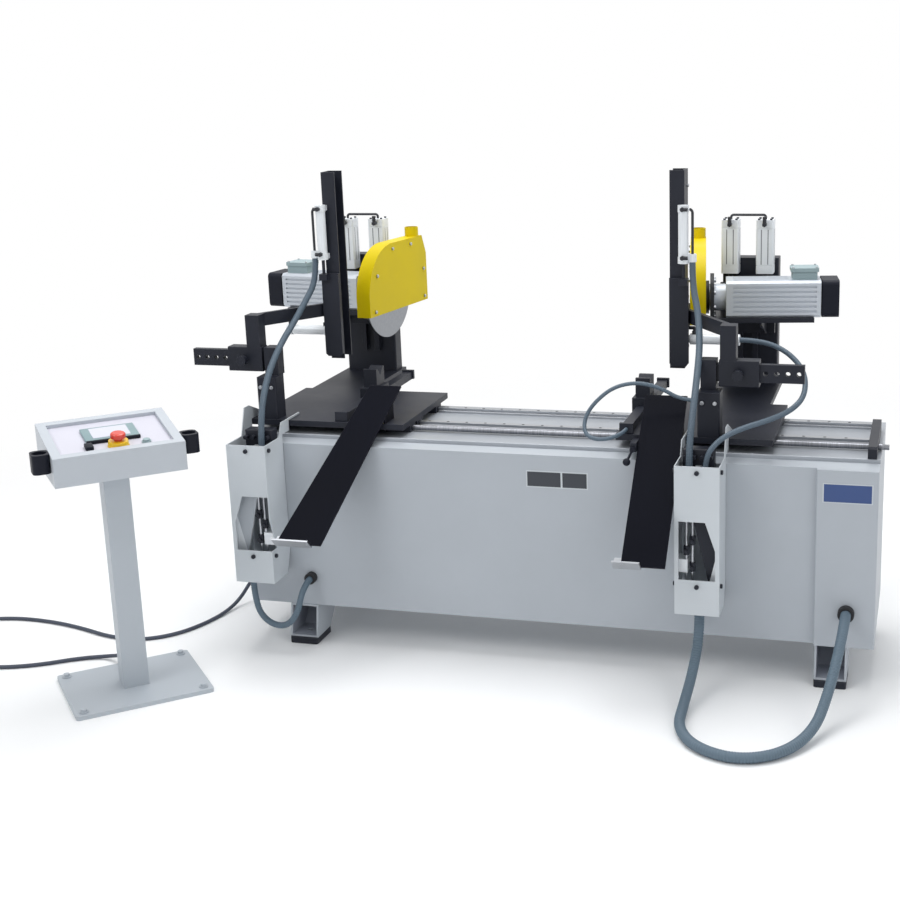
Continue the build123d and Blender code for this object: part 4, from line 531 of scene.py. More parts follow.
@dataclass(frozen=True)
class Cord:
    """A hose or cable along given points.

    Attributes:
        node: The CAD node that it stands for.
        diameter: Its outside diameter.
        length: Its real length; not used.
        finish: Its finish.
        body: The body that holds it, or its first end.
        points: The control points of its line.
        far_body: The body at its other end, if that moves.
        bend: Where the bend between the two bodies starts and ends; not used.
        rib: Pitch of its ribs, 0 on a plain one.
    """

    node: str
    diameter: float
    length: float
    finish: Finish
    body: Body
    points: tuple[Point, ...]
    far_body: Optional[Body] = None
    bend: Optional[tuple[Point, Point]] = None
    rib: float = 0.0

    def line(self) -> list[Vector]:
        """Points read from the NURBS spline that its control points steer.

        Returns:
            The points from end to end.
        """
        curve = bpy.data.curves.new(self.node + "_route", "CURVE")
        curve.dimensions = "3D"
        spline = curve.splines.new("NURBS")
        spline.points.add(len(self.points) - 1)
        for point, at in zip(spline.points, self.points):
            point.co = (*at, 1.0)
        spline.order_u = SPLINE_ORDER
        spline.use_endpoint_u = True
        spline.resolution_u = SPLINE_STEPS
        holder = bpy.data.objects.new(curve.name, curve)
        mesh = bpy.data.meshes.new_from_object(holder)
        found = [vertex.co.copy() for vertex in mesh.vertices]
        bpy.data.meshes.remove(mesh)
        bpy.data.objects.remove(holder)
        bpy.data.curves.remove(curve)
        return found

    def even(self, pitch: float) -> list[Vector]:
        """Points at equal distances along the line.

        Args:
            pitch: About how far apart.

        Returns:
            The points from end to end.
        """
        line = self.line()
        gone = [0.0]
        for a, b in zip(line, line[1:]):
            gone.append(gone[-1] + (b - a).length)
        count = max(LEAST_RINGS, round(gone[-1] / pitch))
        found, k = [], 0
        for n in range(count + 1):
            want = gone[-1] * n / count
            while k < len(line) - 2 and gone[k + 1] < want:
                k += 1
            share = (want - gone[k]) / max(1e-9, gone[k + 1] - gone[k])
            found.append(line[k].lerp(line[k + 1], min(1.0, share)))
        return found

    def tube(self, path: Sequence[Vector]) -> bpy.types.Mesh:
        """Draws the round section along a path, with ribs if the cord has them.

        Args:
            path: The points that it follows.

        Returns:
            The tube's mesh.
        """
        mesh = bmesh.new()
        steep = abs((path[1] - path[0]).normalized().z) >= STEEP
        up = Vector((1, 0, 0)) if steep else Vector((0, 0, 1))
        rings = []
        for n, here in enumerate(path):
            way = (path[min(n + 1, len(path) - 1)] - path[max(n - 1, 0)]).normalized()
            across = way.cross(up).normalized()
            up = across.cross(way).normalized()
            radius = self.diameter / 2
            if self.rib:
                radius *= RIB_PROFILE[n % len(RIB_PROFILE)]
            angles = (2 * math.pi * k / TUBE_SIDES for k in range(TUBE_SIDES))
            rings.append([mesh.verts.new(here + (across * math.cos(a) + up * math.sin(a)) * radius)
                          for a in angles])
        for ring, after in zip(rings, rings[1:]):
            for k in range(TUBE_SIDES):
                beside = (k + 1) % TUBE_SIDES
                mesh.faces.new((ring[k], ring[beside], after[beside], after[k]))
        mesh.faces.new(rings[0])
        mesh.faces.new(reversed(rings[-1]))
        data = bpy.data.meshes.new(self.node + "_tube")
        bmesh.ops.recalc_face_normals(mesh, faces=mesh.faces)
        mesh.to_mesh(data)
        mesh.free()
        data.shade_smooth()
        data.materials.append(self.finish.material())
        return data

    def build(self) -> bpy.types.Object:
        """Makes the tube, and ties it to its body when it has no far body; otherwise the tube is tied
        to no body.

        Returns:
            The tube.
        """
        path = self.even(self.rib / len(RIB_PROFILE) if self.rib else self.diameter * TUBE_STEP)
        tube = add_object(self.node + "_tube", self.tube(path))
        if self.far_body:
            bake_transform(tube)
        else:
            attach(tube, self.body.value)
        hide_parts(self.node)
        log.info("cord %s, %.3f m", self.node, sum((b - a).length for a, b in zip(path, path[1:])))
        return tube


@dataclass(frozen=True)
class BaseUnit:
    """The cabinet, its feet, the bed with rails and screw, and the bare plates on its front.

    Shapes run from the front that they sit on, and the rail bolt from the rails' top. The heel is
    the slanting back of a foot bracket.
    """

    front_rim: Shapes = (Block((0.0155, 0.0, 0.5675), (0.185, 0.0016, 0.051)),)
    front_fields: Shapes = (
        Block((-0.02335, -0.0008, 0.5675), (0.0999, 0.0008, 0.04386)),
        Block((0.068225, -0.0008, 0.5675), (0.07215, 0.0008, 0.04386)),
    )
    column_rim: Shapes = (Block((0.842, 0.0, 0.575), (0.136, 0.0016, 0.056)),)
    column_field: Shapes = (Block((0.842, -0.0008, 0.575), (0.1292, 0.0008, 0.0504)),)
    rail_bolt: Shapes = (Rod((0.0, 0.0, -0.001), (0.0, 0.0, 0.0002), 0.0045, 14),)
    bolt_pitch: float = 0.06
    bolt_inset: float = 0.01
    foot_x: float = 0.806
    foot_half: float = 0.0405
    foot_z: Span = (0.0255, 0.1175)
    heel: float = 0.152
    heel_z: float = 0.020
    heel_slant: float = 0.893
    heel_wall: float = 0.003

    def in_bracket(self, at: Vector) -> bool:
        """Tells whether a face lies inside a foot bracket, whose inner walls get painted shade.

        Args:
            at: The face's middle.

        Returns:
            True on the inner walls.
        """
        back = self.heel - (at.z - self.heel_z) * self.heel_slant
        between = abs(abs(at.x) - self.foot_x) < self.foot_half
        return between and within(at.z, self.foot_z) and abs(at.y) > back + self.heel_wall

    def dress(self) -> None:
        """Gives the CAD pieces their finishes."""
        for node in ("base_cabinet", "end_column", "foot_brackets"):
            dress(node, CABINET)
        # Painted shade on the inner walls of the foot brackets.
        dress_where("foot_brackets", BRACKET_PAINTED_SHADE, self.in_bracket)
        dress("bed_plate", BED)
        dress("linear_rails", STEEL)
        for node in ("rail_end_plate", "foot_pads"):
            dress(node, BLACK)
        dress("lead_screw", SCREW)
        dress("hose_glands", RUBBER)

    def build(self) -> None:
        """Adds the plates and the rail bolts."""
        for name, node, finish, shapes in (
            ("front_plate_rim", "base_cabinet", PLATE_PALE, self.front_rim),
            ("front_plate_field", "base_cabinet", PLATE_DARK, self.front_fields),
            ("column_plate_rim", "end_column", PLATE_PALE, self.column_rim),
            ("column_plate_field", "end_column", PLATE_BLUE, self.column_field),
        ):
            Detail(name, Body.BASE, finish).shapes(shapes, (0.0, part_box(node)[0].y, 0.0)).done()
        low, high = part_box("linear_rails")
        bolts = Detail("rail_bolts", Body.BASE, BLACK)
        for y in (low.y + self.bolt_inset, high.y - self.bolt_inset):
            for n in range(int((high.x - low.x) / self.bolt_pitch)):
                bolts.shapes(self.rail_bolt, (low.x + (n + 0.5) * self.bolt_pitch, y, high.z))
        bolts.done()


@dataclass(frozen=True)
class Head:
    """Where one trimming head stands, and the bodies of its pieces.

    Attributes:
        name: left or right.
        side: +1 where outwards is +X.
        home: The body of its fixed pieces.
        gallows: The body of its magazine.
        saw: The body of its saw.
        tower_x: The inner wall of its tower.
        saw_x: The outer face of its saw guard before the saw is turned.
    """

    name: str
    side: int
    home: Body
    gallows: Body
    saw: Body
    tower_x: float
    saw_x: float

    def node(self, part: str) -> str:
        """Full name of one of its nodes or pieces."""
        return f"{self.name}_{part}"

    def u(self, outwards: float) -> float:
        """X of a place so far outwards from the tower's inner wall."""
        return self.tower_x + self.side * outwards

    def w(self, outwards: float) -> float:
        """X of a place so far outwards from the saw guard, before the saw is turned."""
        return self.saw_x + self.side * outwards

    def dress(self, plans: dict[Finish, tuple[str, ...]]) -> None:
        """Gives some of its CAD pieces their finishes.

        Args:
            plans: The pieces' names without the side, by finish.
        """
        for finish, parts in plans.items():
            for part in parts:
                dress(self.node(part), finish)


@dataclass(frozen=True)
class Tower:
    """A head's tower and chute.

    Shapes run outwards and back from the tower's inner front edge, and those of the terminal block
    from Y 0. The spans tell where the faces of the pieces inside the tower lie.
    """

    head: Head
    wall: float = 0.0035
    front_wall: float = 0.01
    valve_y: Span = (-0.3295, -0.3225)
    valve_z: Span = (0.310, 0.530)
    cylinder_front: float = -0.3355
    cylinder_z: Span = (0.3485, 0.3875)
    manifold_z: Span = (0.5745, 0.6205)
    screw_z: Span = (0.316, 0.646)
    screw_inset: float = 0.02
    screw_radius: float = 0.0065
    rods: Shapes = (
        Rod((0.030, 0.03, 0.235), (0.030, 0.03, 0.578), 0.004),
        Rod((0.047, 0.03, 0.235), (0.047, 0.03, 0.578), 0.004),
    )
    fittings: Shapes = (
        Rod((0.030, 0.03, 0.400), (0.030, 0.03, 0.426), 0.009, HEX),
        Rod((0.030, 0.03, 0.413), (0.030, 0.012, 0.413), 0.006),
        Rod((0.047, 0.03, 0.352), (0.047, 0.03, 0.378), 0.009, HEX),
        Rod((0.047, 0.03, 0.365), (0.047, 0.012, 0.365), 0.006),
        Rod((0.047, 0.03, 0.430), (0.047, 0.03, 0.456), 0.009, HEX),
        Rod((0.047, 0.03, 0.443), (0.047, 0.012, 0.443), 0.006),
    )
    connector: Shapes = (Block((0.058, 0.062, 0.634), (0.018, 0.026, 0.028), 0.002),)
    terminal: Shapes = (
        Block((0.055, -0.262, 0.645), (0.088, 0.042, 0.096), 0.004),
        *(Rod((u, -0.285, 0.672), (u, -0.300, 0.672), 0.007, HEX)
          for u in (0.022, 0.045, 0.068, 0.091)),
        Rod((0.034, -0.310, 0.620), (0.034, -0.310, 0.644), 0.0145, HEX),
    )
    loop_socket: Shapes = (Rod((0.078, -0.311, 0.620), (0.078, -0.311, 0.644), 0.012, HEX),)

    def dress(self) -> None:
        """Gives the CAD pieces their finishes, and picks out what stands inside the tower."""
        self.head.dress({PANEL: ("tower",), CHUTE: ("chute",), STEEL: ("chute_stop",)})
        tower = self.head.node("tower")
        low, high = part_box(tower)

        def inside(at: Vector) -> bool:
            walls = (low.x + self.wall, high.x - self.wall)
            return at.y > low.y + self.front_wall and within(at.x, walls)

        def valve(at: Vector) -> bool:
            return inside(at) and within(at.y, self.valve_y) and within(at.z, self.valve_z)

        def cylinder(at: Vector) -> bool:
            return inside(at) and within(at.z, self.cylinder_z) and at.y > self.cylinder_front

        dress_where(tower, BLACK if self.head.side > 0 else CABINET, valve)
        dress_where(tower, CYLINDER, cylinder)
        dress_where(tower, BLACK, lambda at: inside(at) and within(at.z, self.manifold_z))

    def build(self) -> None:
        """Adds the screws, rods, air fittings, connector and terminal block."""
        head = self.head
        low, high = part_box(head.node("tower"))
        mid = (low.x + high.x) / 2
        screws = Detail(head.node("tower_screws"), head.home, BLACK)
        for z in self.screw_z:
            screws.screw((mid, low.y, z), (0, -1, 0), self.screw_radius)
            for x, out in ((low.x, -1), (high.x, 1)):
                screws.screw((x, low.y + self.screw_inset, z), (out, 0, 0), self.screw_radius)
        screws.done()
        terminal = self.terminal if head.side < 0 else self.terminal + self.loop_socket
        for part, finish, shapes, y in (
            ("tower_rods", STEEL, self.rods, low.y),
            ("tower_fittings", BLACK, self.fittings, low.y),
            ("connector", PLATE_PALE, self.connector, low.y),
            ("terminal", BLACK, terminal, 0.0),
        ):
            Detail(head.node(part), head.home, finish).shapes(
                shapes, (head.tower_x, y, 0.0), head.side).done()


@dataclass(frozen=True)
class Magazine:
    """A head's magazine and feed.

    The gate cylinder's ports run from the post's outer face and the cylinder's middle, those of the
    escapement cylinder from the tower's inner wall and the post's middle.
    """

    head: Head
    line_u: float = -0.0235
    line_z: float = 1.1885
    screw_z: tuple[float, ...] = (0.90, 0.975, 1.05, 1.38)
    screw_back: float = 0.052
    screw_radius: float = 0.005
    cylinder_radius: float = 0.0165
    gate_ports: Shapes = (
        Rod((0.0, -0.012, 1.178), (0.0, -0.026, 1.178), 0.007, HEX),
        Rod((0.0, -0.020, 1.178), (0.016, -0.020, 1.178), 0.0055),
        Rod((0.0, -0.012, 1.319), (0.0, -0.026, 1.319), 0.007, HEX),
        Rod((0.0, -0.020, 1.319), (0.016, -0.020, 1.319), 0.0055),
    )
    push_ports: Shapes = (
        Block((-0.016, 0.0, 0.944), (0.016, 0.016, 0.014), 0.002),
        Rod((-0.016, 0.0, 0.948), (-0.016, 0.0, 0.962), 0.006),
        Rod((-0.016, 0.0, 0.959), (-0.038, 0.0, 0.959), 0.0055),
        Block((0.104, 0.0, 0.944), (0.016, 0.016, 0.014), 0.002),
        Rod((0.104, 0.0, 0.948), (0.104, 0.0, 0.962), 0.006),
        Rod((0.104, 0.0, 0.959), (0.082, 0.0, 0.959), 0.0055),
    )
    column_u: Span = (0.050, 0.086)
    column_z: float = 0.80
    column_radius: float = 0.006

    def dress(self) -> None:
        """Gives the CAD pieces their finishes."""
        head = self.head
        head.dress({
            BLACK: ("magazine_column", "gallows", "magazine_post", "magazine_gate", "feed_slide",
                    "feed_guide"),
            STEEL: ("escapement_rod",),
            CYLINDER: ("magazine_cylinders",),
        })

        def line(at: Vector) -> bool:
            return at.z > self.line_z and (at.x - head.u(self.line_u)) * head.side > 0

        dress_where(head.node("magazine_cylinders"), LINE, line)

    def build(self) -> None:
        """Adds the screws and the cylinders' fittings."""
        head = self.head
        low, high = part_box(head.node("magazine_post"))
        outer = low.x if head.side < 0 else high.x
        screws = Detail(head.node("post_screws"), head.gallows, STEEL)
        for z in self.screw_z:
            screws.screw((outer, low.y + self.screw_back, z), (head.side, 0, 0), self.screw_radius)
        screws.done()
        gate_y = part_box(head.node("magazine_cylinders"))[0].y + self.cylinder_radius
        ports = Detail(head.node("gate_ports"), head.gallows, LINE)
        ports.shapes(self.gate_ports, (outer, gate_y, 0.0), head.side)
        ports.shapes(self.push_ports, (head.tower_x, (low.y + high.y) / 2, 0.0), head.side).done()
        column = Detail(head.node("column_screws"), head.home, STEEL)
        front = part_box(head.node("magazine_column"))[0].y
        for u in self.column_u:
            column.screw((head.u(u), front, self.column_z), (0, -1, 0), self.column_radius)
        column.done()


@dataclass(frozen=True)
class Saw:
    """A head's saw and its column, with two profile cylinders.

    W runs outwards from the guard, before the saw is turned, or toed in, about an upright line at
    toe_y. A cylinder's ports run from its front and top, its screws and slots from its middle.
    """

    head: Head
    toe_in: float = math.radians(8.5)
    toe_y: float = 0.200
    guard_width: float = 0.049
    middle: Span = (0.3655, 1.0095)
    fan_w: float = 0.3525
    flange_w: float = 0.0105
    box_height: float = 0.034
    guard_bolts: tuple[Span, ...] = ((0.235, 0.965), (0.255, 1.08), (0.365, 1.155), (0.49, 1.155),
                                     (0.575, 1.06), (0.575, 0.965))
    guard_bolt_radius: float = 0.0055
    flange_bolts: int = 8
    flange_bolt_w: float = 0.025
    flange_circle: float = 0.060
    flange_bolt_radius: float = 0.006
    lid_w: Span = (0.268, 0.338)
    lid_y: Span = (-0.032, 0.032)
    lid_radius: float = 0.0035
    top: float = 1.237
    bottom: float = 1.066
    cap: float = 0.030
    line_z: float = 1.2375
    cap_off: Span = (-0.019, 0.019)
    cap_radius: float = 0.0042
    slot_off: Span = (-0.0105, 0.0105)
    slot_width: float = 0.0028
    slot_thick: float = 0.0006
    ports: Shapes = (
        Rod((0.0, 0.0, -0.013), (0.0, -0.018, -0.013), 0.0075, HEX),
        Rod((0.0, -0.012, -0.013), (0.0, -0.012, 0.012), 0.006),
    )

    def turned(self) -> Matrix:
        """The turn that points the back of the saw towards the middle."""
        pivot = Matrix.Translation((self.head.w(-self.guard_width / 2), self.toe_y, 0.0))
        return pivot @ Matrix.Rotation(self.head.side * self.toe_in, 4, "Z") @ pivot.inverted()

    def dress(self) -> None:
        """Gives the CAD pieces their finishes, and picks out the motor's parts and the air line."""
        head, back = self.head, self.turned().inverted()
        head.dress({
            BLACK: ("saw_column", "saw_plate"),
            CYLINDER: ("saw_cylinders",),
            YELLOW: ("saw_guard",),
            BLADE: ("saw_blade",),
            ALLOY: ("motor",),
        })
        motor = head.node("motor")
        box_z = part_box(motor)[1].z - self.box_height
        dress_where(motor, PLASTIC, lambda at: ((back @ at).x - head.w(self.fan_w)) * head.side > 0)
        dress_where(motor, BLACK, lambda at: ((back @ at).x - head.w(self.flange_w)) * head.side < 0)
        dress_where(motor, TEAL, lambda at: at.z > box_z)
        dress_where(head.node("saw_cylinders"), LINE, lambda at: at.z > self.line_z)

    def build(self) -> None:
        """Adds the bolts of the guard and the flange, the terminal box's screws and the cylinders'."""
        head, turn = self.head, self.turned()
        y, z = self.middle
        bolts = Detail(head.node("guard_bolts"), head.saw, STEEL, turn)
        inner = head.w(-self.guard_width)
        for at in self.guard_bolts:
            bolts.screw((inner, *at), (-head.side, 0, 0), self.guard_bolt_radius)
        for n in range(self.flange_bolts):
            angle = 2 * math.pi * (n + 0.5) / self.flange_bolts
            across, rise = (self.flange_circle * f(angle) for f in (math.cos, math.sin))
            bolts.screw((head.w(self.flange_bolt_w), y + across, z + rise), (head.side, 0, 0),
                        self.flange_bolt_radius)
        bolts.done()
        lid = Detail(head.node("terminal_screws"), head.saw, STEEL, turn)
        lid_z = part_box(head.node("motor"))[1].z
        for w in self.lid_w:
            for dy in self.lid_y:
                lid.screw((head.w(w), y + dy, lid_z), (0, 0, 1), self.lid_radius)
        lid.done()
        self.build_cylinders()

    def build_cylinders(self) -> None:
        """Adds the cap screws, slots and ports of the profile cylinders."""
        head = self.head
        low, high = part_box(head.node("saw_cylinders"))
        half = (high.y - low.y) / 2
        y, barrel = low.y + half, self.top - self.bottom - 2 * self.cap
        z = self.top - self.cap - barrel / 2
        caps = Detail(head.node("cylinder_caps"), head.home, BLACK)
        slots = Detail(head.node("cylinder_slots"), head.home, SCREW)
        ports = Detail(head.node("cylinder_ports"), head.home, LINE)
        for x in (low.x + half, high.x - half):
            for dx in self.cap_off:
                for dy in self.cap_off:
                    caps.screw((x + dx, y + dy, self.top), (0, 0, 1), self.cap_radius)
            for off in self.slot_off:
                for face in (-half, half):
                    slots.block((x + off, y + face, z), (self.slot_width, self.slot_thick, barrel))
                    slots.block((x + face, y + off, z), (self.slot_thick, self.slot_width, barrel))
            ports.shapes(self.ports, (x, low.y, self.top))
        for detail in (caps, slots, ports):
            detail.done()


@dataclass(frozen=True)
class Console:
    """The operator's console on its pedestal.

    Pads are the name, finish and shapes of what is on the panel, in the panel's own frame. Beyond
    panel_half stand the shrouds of the start buttons, and above collar_z the stop's collar.
    """

    turn: float = math.radians(42.0)
    slope: float = math.atan2(0.040, 0.275)
    middle_z: float = 0.770
    panel_half: float = 0.16
    collar_z: float = -0.0095
    pads: tuple[tuple[str, Finish, Shapes], ...] = (
        ("display_body", BEZEL, (Block((0.0025, 0.009, -0.006), (0.149, 0.098, 0.008), 0.002),)),
        ("display_screen", SCREEN, (Block((0.0025, 0.012, -0.0018), (0.104, 0.074, 0.001)),)),
        ("display_edge", PLASTIC, (Block((0.0025, -0.044, -0.005), (0.149, 0.008, 0.010), 0.002),)),
        ("selector_switch", PLASTIC, (
            Block((-0.071, -0.075, -0.004), (0.022, 0.034, 0.012), 0.003),)),
        ("lamp_button", TEAL, (
            Rod((0.084, -0.086, -0.010), (0.084, -0.086, -0.004), 0.013),
            Rod((0.084, -0.086, -0.004), (0.084, -0.086, 0.001), 0.010))),
    )

    def desk(self) -> Matrix:
        """The sloping panel's own frame.

        Returns:
            Its matrix.
        """
        low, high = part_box("pedestal_stand")
        foot = (low + high) / 2
        stand = Matrix.Translation((foot.x, foot.y, self.middle_z))
        turn = Matrix.Rotation(self.turn, 4, "Z") @ Matrix.Rotation(self.slope, 4, "X")
        return stand @ turn

    def dress(self) -> None:
        """Gives the CAD pieces their finishes."""
        dress("pedestal_stand", STAND)
        dress("console_box", CONSOLE)
        dress("console_panel", DESK)
        back = self.desk().inverted()

        def shroud(at: Vector) -> bool:
            return abs((back @ at).x) > self.panel_half

        def collar(at: Vector) -> bool:
            return (back @ at).z > self.collar_z and abs((back @ at).x) < self.panel_half

        dress_where("console_panel", PLASTIC, shroud)
        dress_where("console_panel", COLLAR, collar)
        dress("pedestal_bolts", STAND)
        dress("estop_button", RED)
        dress("left_start_button", PLASTIC)
        dress("right_start_button", PLASTIC)

    def build(self) -> None:
        """Adds the display, switch and lamp to the panel."""
        desk = self.desk()
        for name, finish, shapes in self.pads:
            Detail(name, Body.BASE, finish, desk).shapes(shapes).done()


LEFT_TOWER, RIGHT_TOWER = -0.842, 0.380
HEADS = (
    Head("left", -1, Body.BASE, Body.LEFT_GALLOWS, Body.LEFT_SAW, LEFT_TOWER, saw_x=-0.754),
    Head("right", 1, Body.RIGHT_HEAD, Body.RIGHT_GALLOWS, Body.RIGHT_SAW, RIGHT_TOWER, saw_x=0.384),
)
HOSE_Y = -0.303
FLOOR_LOW = 0.0152
CABLE_LOW = 0.0062
POST_BEND = ((0, 0, 1.10), (0, 0, 0.70))


def post_points(tower: float, side: int) -> tuple[Point, ...]:
    """Route of a magazine's air hose down to its tower.

    Args:
        tower: Where the tower's inner wall stands.
        side: +1 where outwards is +X.

    Returns:
        The control points.
    """
    route = (
        (-0.015, 0.062, 1.165), (-0.015, 0.062, 1.096), (0.009, 0.010, 1.028),
        (0.024, -0.056, 0.972), (0.033, -0.118, 0.932), (0.038, -0.200, 0.870),
        (0.038, -0.262, 0.800), (0.034, -0.304, 0.714), (0.034, -0.310, 0.620))
    return tuple((tower + side * u, y, z) for u, y, z in route)


CORDS = (
    Cord("right_floor_hose", 0.030, 1.354, HOSE, Body.BASE, (
        (0.443, HOSE_Y, 0.240), (0.443, HOSE_Y, 0.150), (0.435, -0.385, 0.065),
        (0.428, -0.500, 0.020), (0.432, -0.620, FLOOR_LOW), (0.495, -0.725, FLOOR_LOW),
        (0.610, -0.770, FLOOR_LOW), (0.722, -0.712, FLOOR_LOW), (0.790, -0.590, 0.028),
        (0.818, -0.480, 0.092), (0.838, -0.398, 0.178), (0.846, -0.325, 0.227),
        (0.846, -0.246, 0.227)),
        far_body=Body.RIGHT_HEAD, bend=((0.83, 0, 0), (0.45, 0, 0)), rib=0.0080),
    Cord("left_tower_hose", 0.020, 0.441, HOSE, Body.BASE, (
        (-0.940, HOSE_Y, 0.240), (-0.940, HOSE_Y, 0.140), (-0.895, -0.318, 0.088),
        (-0.826, -0.334, 0.084), (-0.783, -0.338, 0.132), (-0.777, -0.312, 0.190),
        (-0.776, -0.262, 0.213), (-0.776, -0.230, 0.213)),
        rib=0.0064),
    Cord("control_cable", 0.012, 2.431, CABLE, Body.BASE, (
        (-0.975, 0.060, 0.170), (-1.035, 0.060, 0.170), (-1.090, 0.056, 0.128),
        (-1.128, 0.040, 0.070), (-1.150, 0.0, 0.024), (-1.163, -0.075, 0.007),
        (-1.185, -0.180, CABLE_LOW), (-1.235, -0.285, CABLE_LOW), (-1.325, -0.350, CABLE_LOW),
        (-1.440, -0.345, CABLE_LOW), (-1.560, -0.300, CABLE_LOW), (-1.690, -0.268, CABLE_LOW),
        (-1.830, -0.262, CABLE_LOW), (-1.945, -0.300, CABLE_LOW), (-2.000, -0.400, CABLE_LOW),
        (-1.975, -0.515, CABLE_LOW), (-1.885, -0.600, CABLE_LOW), (-1.765, -0.640, CABLE_LOW),
        (-1.640, -0.632, CABLE_LOW), (-1.535, -0.590, CABLE_LOW), (-1.440, -0.520, CABLE_LOW),
        (-1.360, -0.490, 0.008), (-1.300, -0.510, 0.024), (-1.2486, -0.5658, 0.058),
        (-1.1951, -0.6252, 0.058))),
    Cord("left_post_hose", 0.020, 0.699, TUBE, Body.LEFT_GALLOWS, post_points(LEFT_TOWER, -1),
         far_body=Body.BASE, bend=POST_BEND, rib=0.0042),
    Cord("right_post_hose", 0.020, 0.699, TUBE, Body.RIGHT_GALLOWS, post_points(RIGHT_TOWER, 1),
         far_body=Body.RIGHT_HEAD, bend=POST_BEND, rib=0.0042),
    Cord("right_loop_hose", 0.016, 0.795, TUBE, Body.RIGHT_GALLOWS, (
        (0.498, 0.1145, 0.925), (0.562, 0.1145, 0.925), (0.640, 0.092, 0.900),
        (0.697, 0.040, 0.852), (0.706, -0.040, 0.800), (0.676, -0.125, 0.775),
        (0.618, -0.200, 0.762), (0.552, -0.258, 0.752), (0.496, -0.292, 0.728),
        (0.458, -0.311, 0.680), (0.458, -0.311, 0.620)),
        far_body=Body.RIGHT_HEAD, bend=((0, 0.09, 0), (0, -0.27, 0)), rib=0.004),
    Cord("right_feed_hose", 0.012, 0.599, TUBE, Body.RIGHT_HEAD, (
        (0.416, -0.150, 0.800), (0.366, -0.150, 0.800), (0.306, -0.156, 0.836),
        (0.242, -0.168, 0.852), (0.178, -0.184, 0.840), (0.128, -0.198, 0.800),
        (0.097, -0.204, 0.755), (0.100, -0.236, 0.715), (0.135, -0.262, 0.703),
        (0.178, -0.262, 0.706), (0.210, -0.214, 0.713), (0.210, -0.172, 0.713)),
        rib=0.0036),
)


@dataclass(frozen=True)
class Lamp:
    """A square soft light, with the length of its sides and its power in watts."""

    name: str
    place: Point
    size: float
    power: float


WHITE = (1.0, 1.0, 1.0, 1.0)


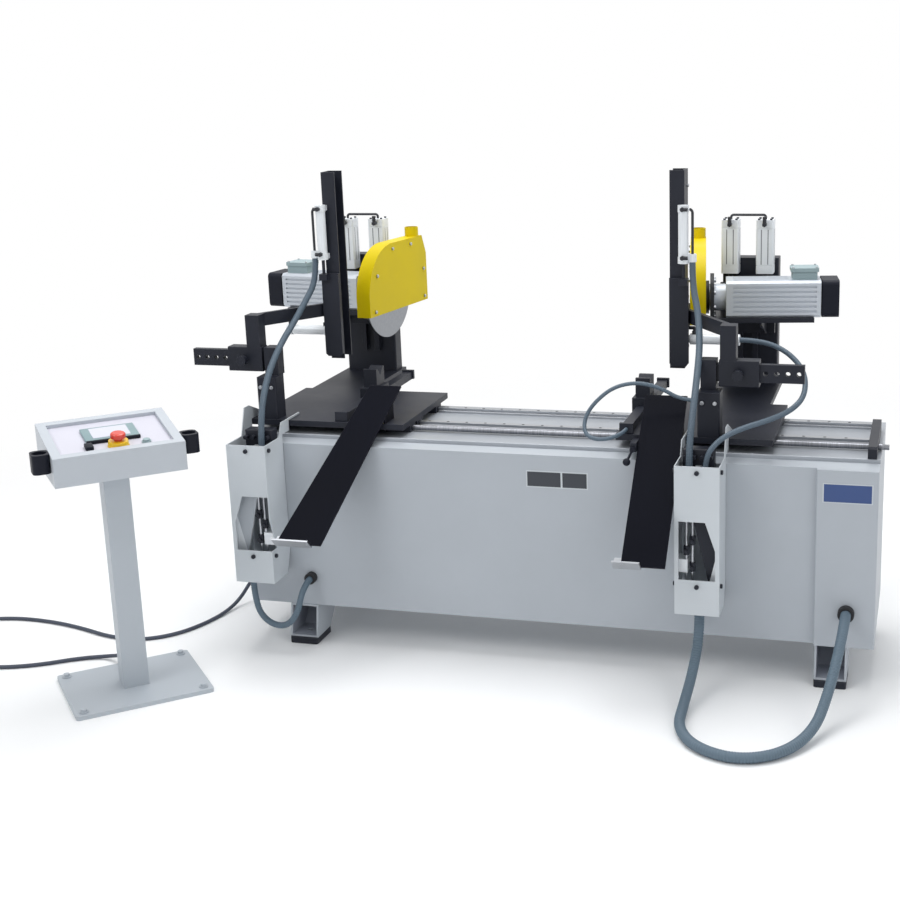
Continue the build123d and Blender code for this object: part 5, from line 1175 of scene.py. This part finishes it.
@dataclass(frozen=True)
class Studio:
    """Camera, light and floor around the machine.

    Yaw turns the camera from +Y towards +X, pitch looks down, and roll is about its line of sight.
    The floor sweeps up behind floor_back. Between the two distances of fade from the middle it
    turns to plain white for rays that show the backdrop. The sky is the light from all round.
    """

    eye: Point = (1.036, -4.161, 1.778)
    yaw: float = math.radians(-15.76)
    pitch: float = math.radians(14.16)
    roll: float = math.radians(1.66)
    lens_mm: float = 58.37
    sensor_mm: float = 36.0
    shift: Span = (-0.084, -0.0348)
    floor_size: float = 24.0
    floor_back: float = 3.0
    floor_bend: float = 2.5
    floor_wall: float = 9.0
    bend_steps: int = 24
    floor_color: Rgba = (0.96, 0.963, 0.966, 1.0)
    floor_rough: float = 0.6
    fade: Span = (1.9, 3.6)
    sky_color: Rgba = (0.95, 0.975, 1.0, 1.0)
    sky_strength: float = 0.52
    lamps: tuple[Lamp, ...] = (
        Lamp("key", (-2.6, -3.4, 4.2), 2.6, 66.0),
        Lamp("fill", (3.6, -2.6, 3.0), 2.4, 30.0),
        Lamp("top", (-0.2, 0.8, 4.6), 3.2, 150.0),
    )
    aim: Point = (-0.1, 0.0, 0.7)

    def camera(self) -> None:
        """Sets the camera where the photograph was taken."""
        level = math.cos(self.pitch)
        ahead = Vector((math.sin(self.yaw) * level, math.cos(self.yaw) * level, -math.sin(self.pitch)))
        right = Vector((math.cos(self.yaw), -math.sin(self.yaw), 0.0))
        down = ahead.cross(right)
        c, s = math.cos(self.roll), math.sin(self.roll)
        across, fall = right * c + down * s, down * c - right * s
        data = bpy.data.cameras.new("camera")
        data.lens, data.sensor_width = self.lens_mm, self.sensor_mm
        data.shift_x, data.shift_y = self.shift
        made = add_object("camera", data)
        axes = Matrix((across, -fall, -ahead)).transposed().to_4x4()
        made.matrix_world = Matrix.Translation(self.eye) @ axes
        bpy.context.scene.camera = made

    def floor_material(self) -> bpy.types.Material:
        """Makes the floor's material, which takes the shadow and is seen plain white farther off.

        Returns:
            The material.
        """
        g = Graph(bpy.data.materials.new("floor_white"))
        lit = g.add("BsdfPrincipled", {"Base Color": self.floor_color, "Roughness": self.floor_rough})
        white = g.add("Emission", {"Color": WHITE, "Strength": 1.0})
        place = g.add("TexCoord").outputs["Object"]
        away = g.add("VectorMath", {0: place}, operation="LENGTH").outputs["Value"]
        share = g.add("Math", {0: g.seen(), 1: g.spread(away, self.fade, WHOLE)}, operation="MULTIPLY")
        return g.finish(g.blend(share.outputs[0], lit, white))

    def floor(self) -> None:
        """Lays the pale floor, which sweeps up into a wall at the back."""
        half, flat, bend = self.floor_size / 2, self.floor_back, self.floor_bend
        turns = (math.pi / 2 * n / self.bend_steps for n in range(self.bend_steps + 1))
        arc = [(flat + bend * math.sin(t), bend - bend * math.cos(t)) for t in turns]
        profile = [(-half, 0.0), *arc, (flat + bend, self.floor_wall)]
        mesh = bmesh.new()
        rows = [[mesh.verts.new((x, y, z)) for x in (-half, half)] for y, z in profile]
        for low, high in zip(rows, rows[1:]):
            mesh.faces.new((low[0], low[1], high[1], high[0]))
        data = bpy.data.meshes.new("floor")
        mesh.to_mesh(data)
        mesh.free()
        data.shade_smooth()
        data.materials.append(self.floor_material())
        add_object("floor", data)

    def light(self) -> None:
        """Sets the soft studio light."""
        g = Graph(bpy.data.worlds.new("studio"))
        sky = g.add("Background", {"Color": self.sky_color, "Strength": self.sky_strength})
        white = g.add("Background", {"Color": WHITE, "Strength": 1.0})
        bpy.context.scene.world = g.finish(g.blend(g.seen(), sky, white))
        for lamp in self.lamps:
            data = bpy.data.lights.new(lamp.name, "AREA")
            data.shape, data.size, data.energy = "SQUARE", lamp.size, lamp.power
            made = add_object(lamp.name, data)
            made.location = lamp.place
            way = Vector(self.aim) - Vector(lamp.place)
            made.rotation_euler = way.to_track_quat("-Z", "Y").to_euler()

    def build(self) -> None:
        """Sets up the whole studio."""
        self.camera()
        self.floor()
        self.light()
        bpy.context.scene.view_settings.view_transform = "Standard"


def main() -> None:
    """Builds the looks."""
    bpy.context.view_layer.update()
    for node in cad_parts.values():
        smooth(node.data)
    parts = [kind(head) for head in HEADS for kind in (Tower, Magazine, Saw)]
    dress("left_head_bed", BLACK)
    dress("right_carriage", BLACK)
    dress("carriage_clamp_lever", PLASTIC)
    for unit in (BaseUnit(), *parts, Console()):
        unit.dress()
        unit.build()
    for cord in CORDS:
        cord.build()
    Studio().build()


if __name__ == "__main__":
    main()
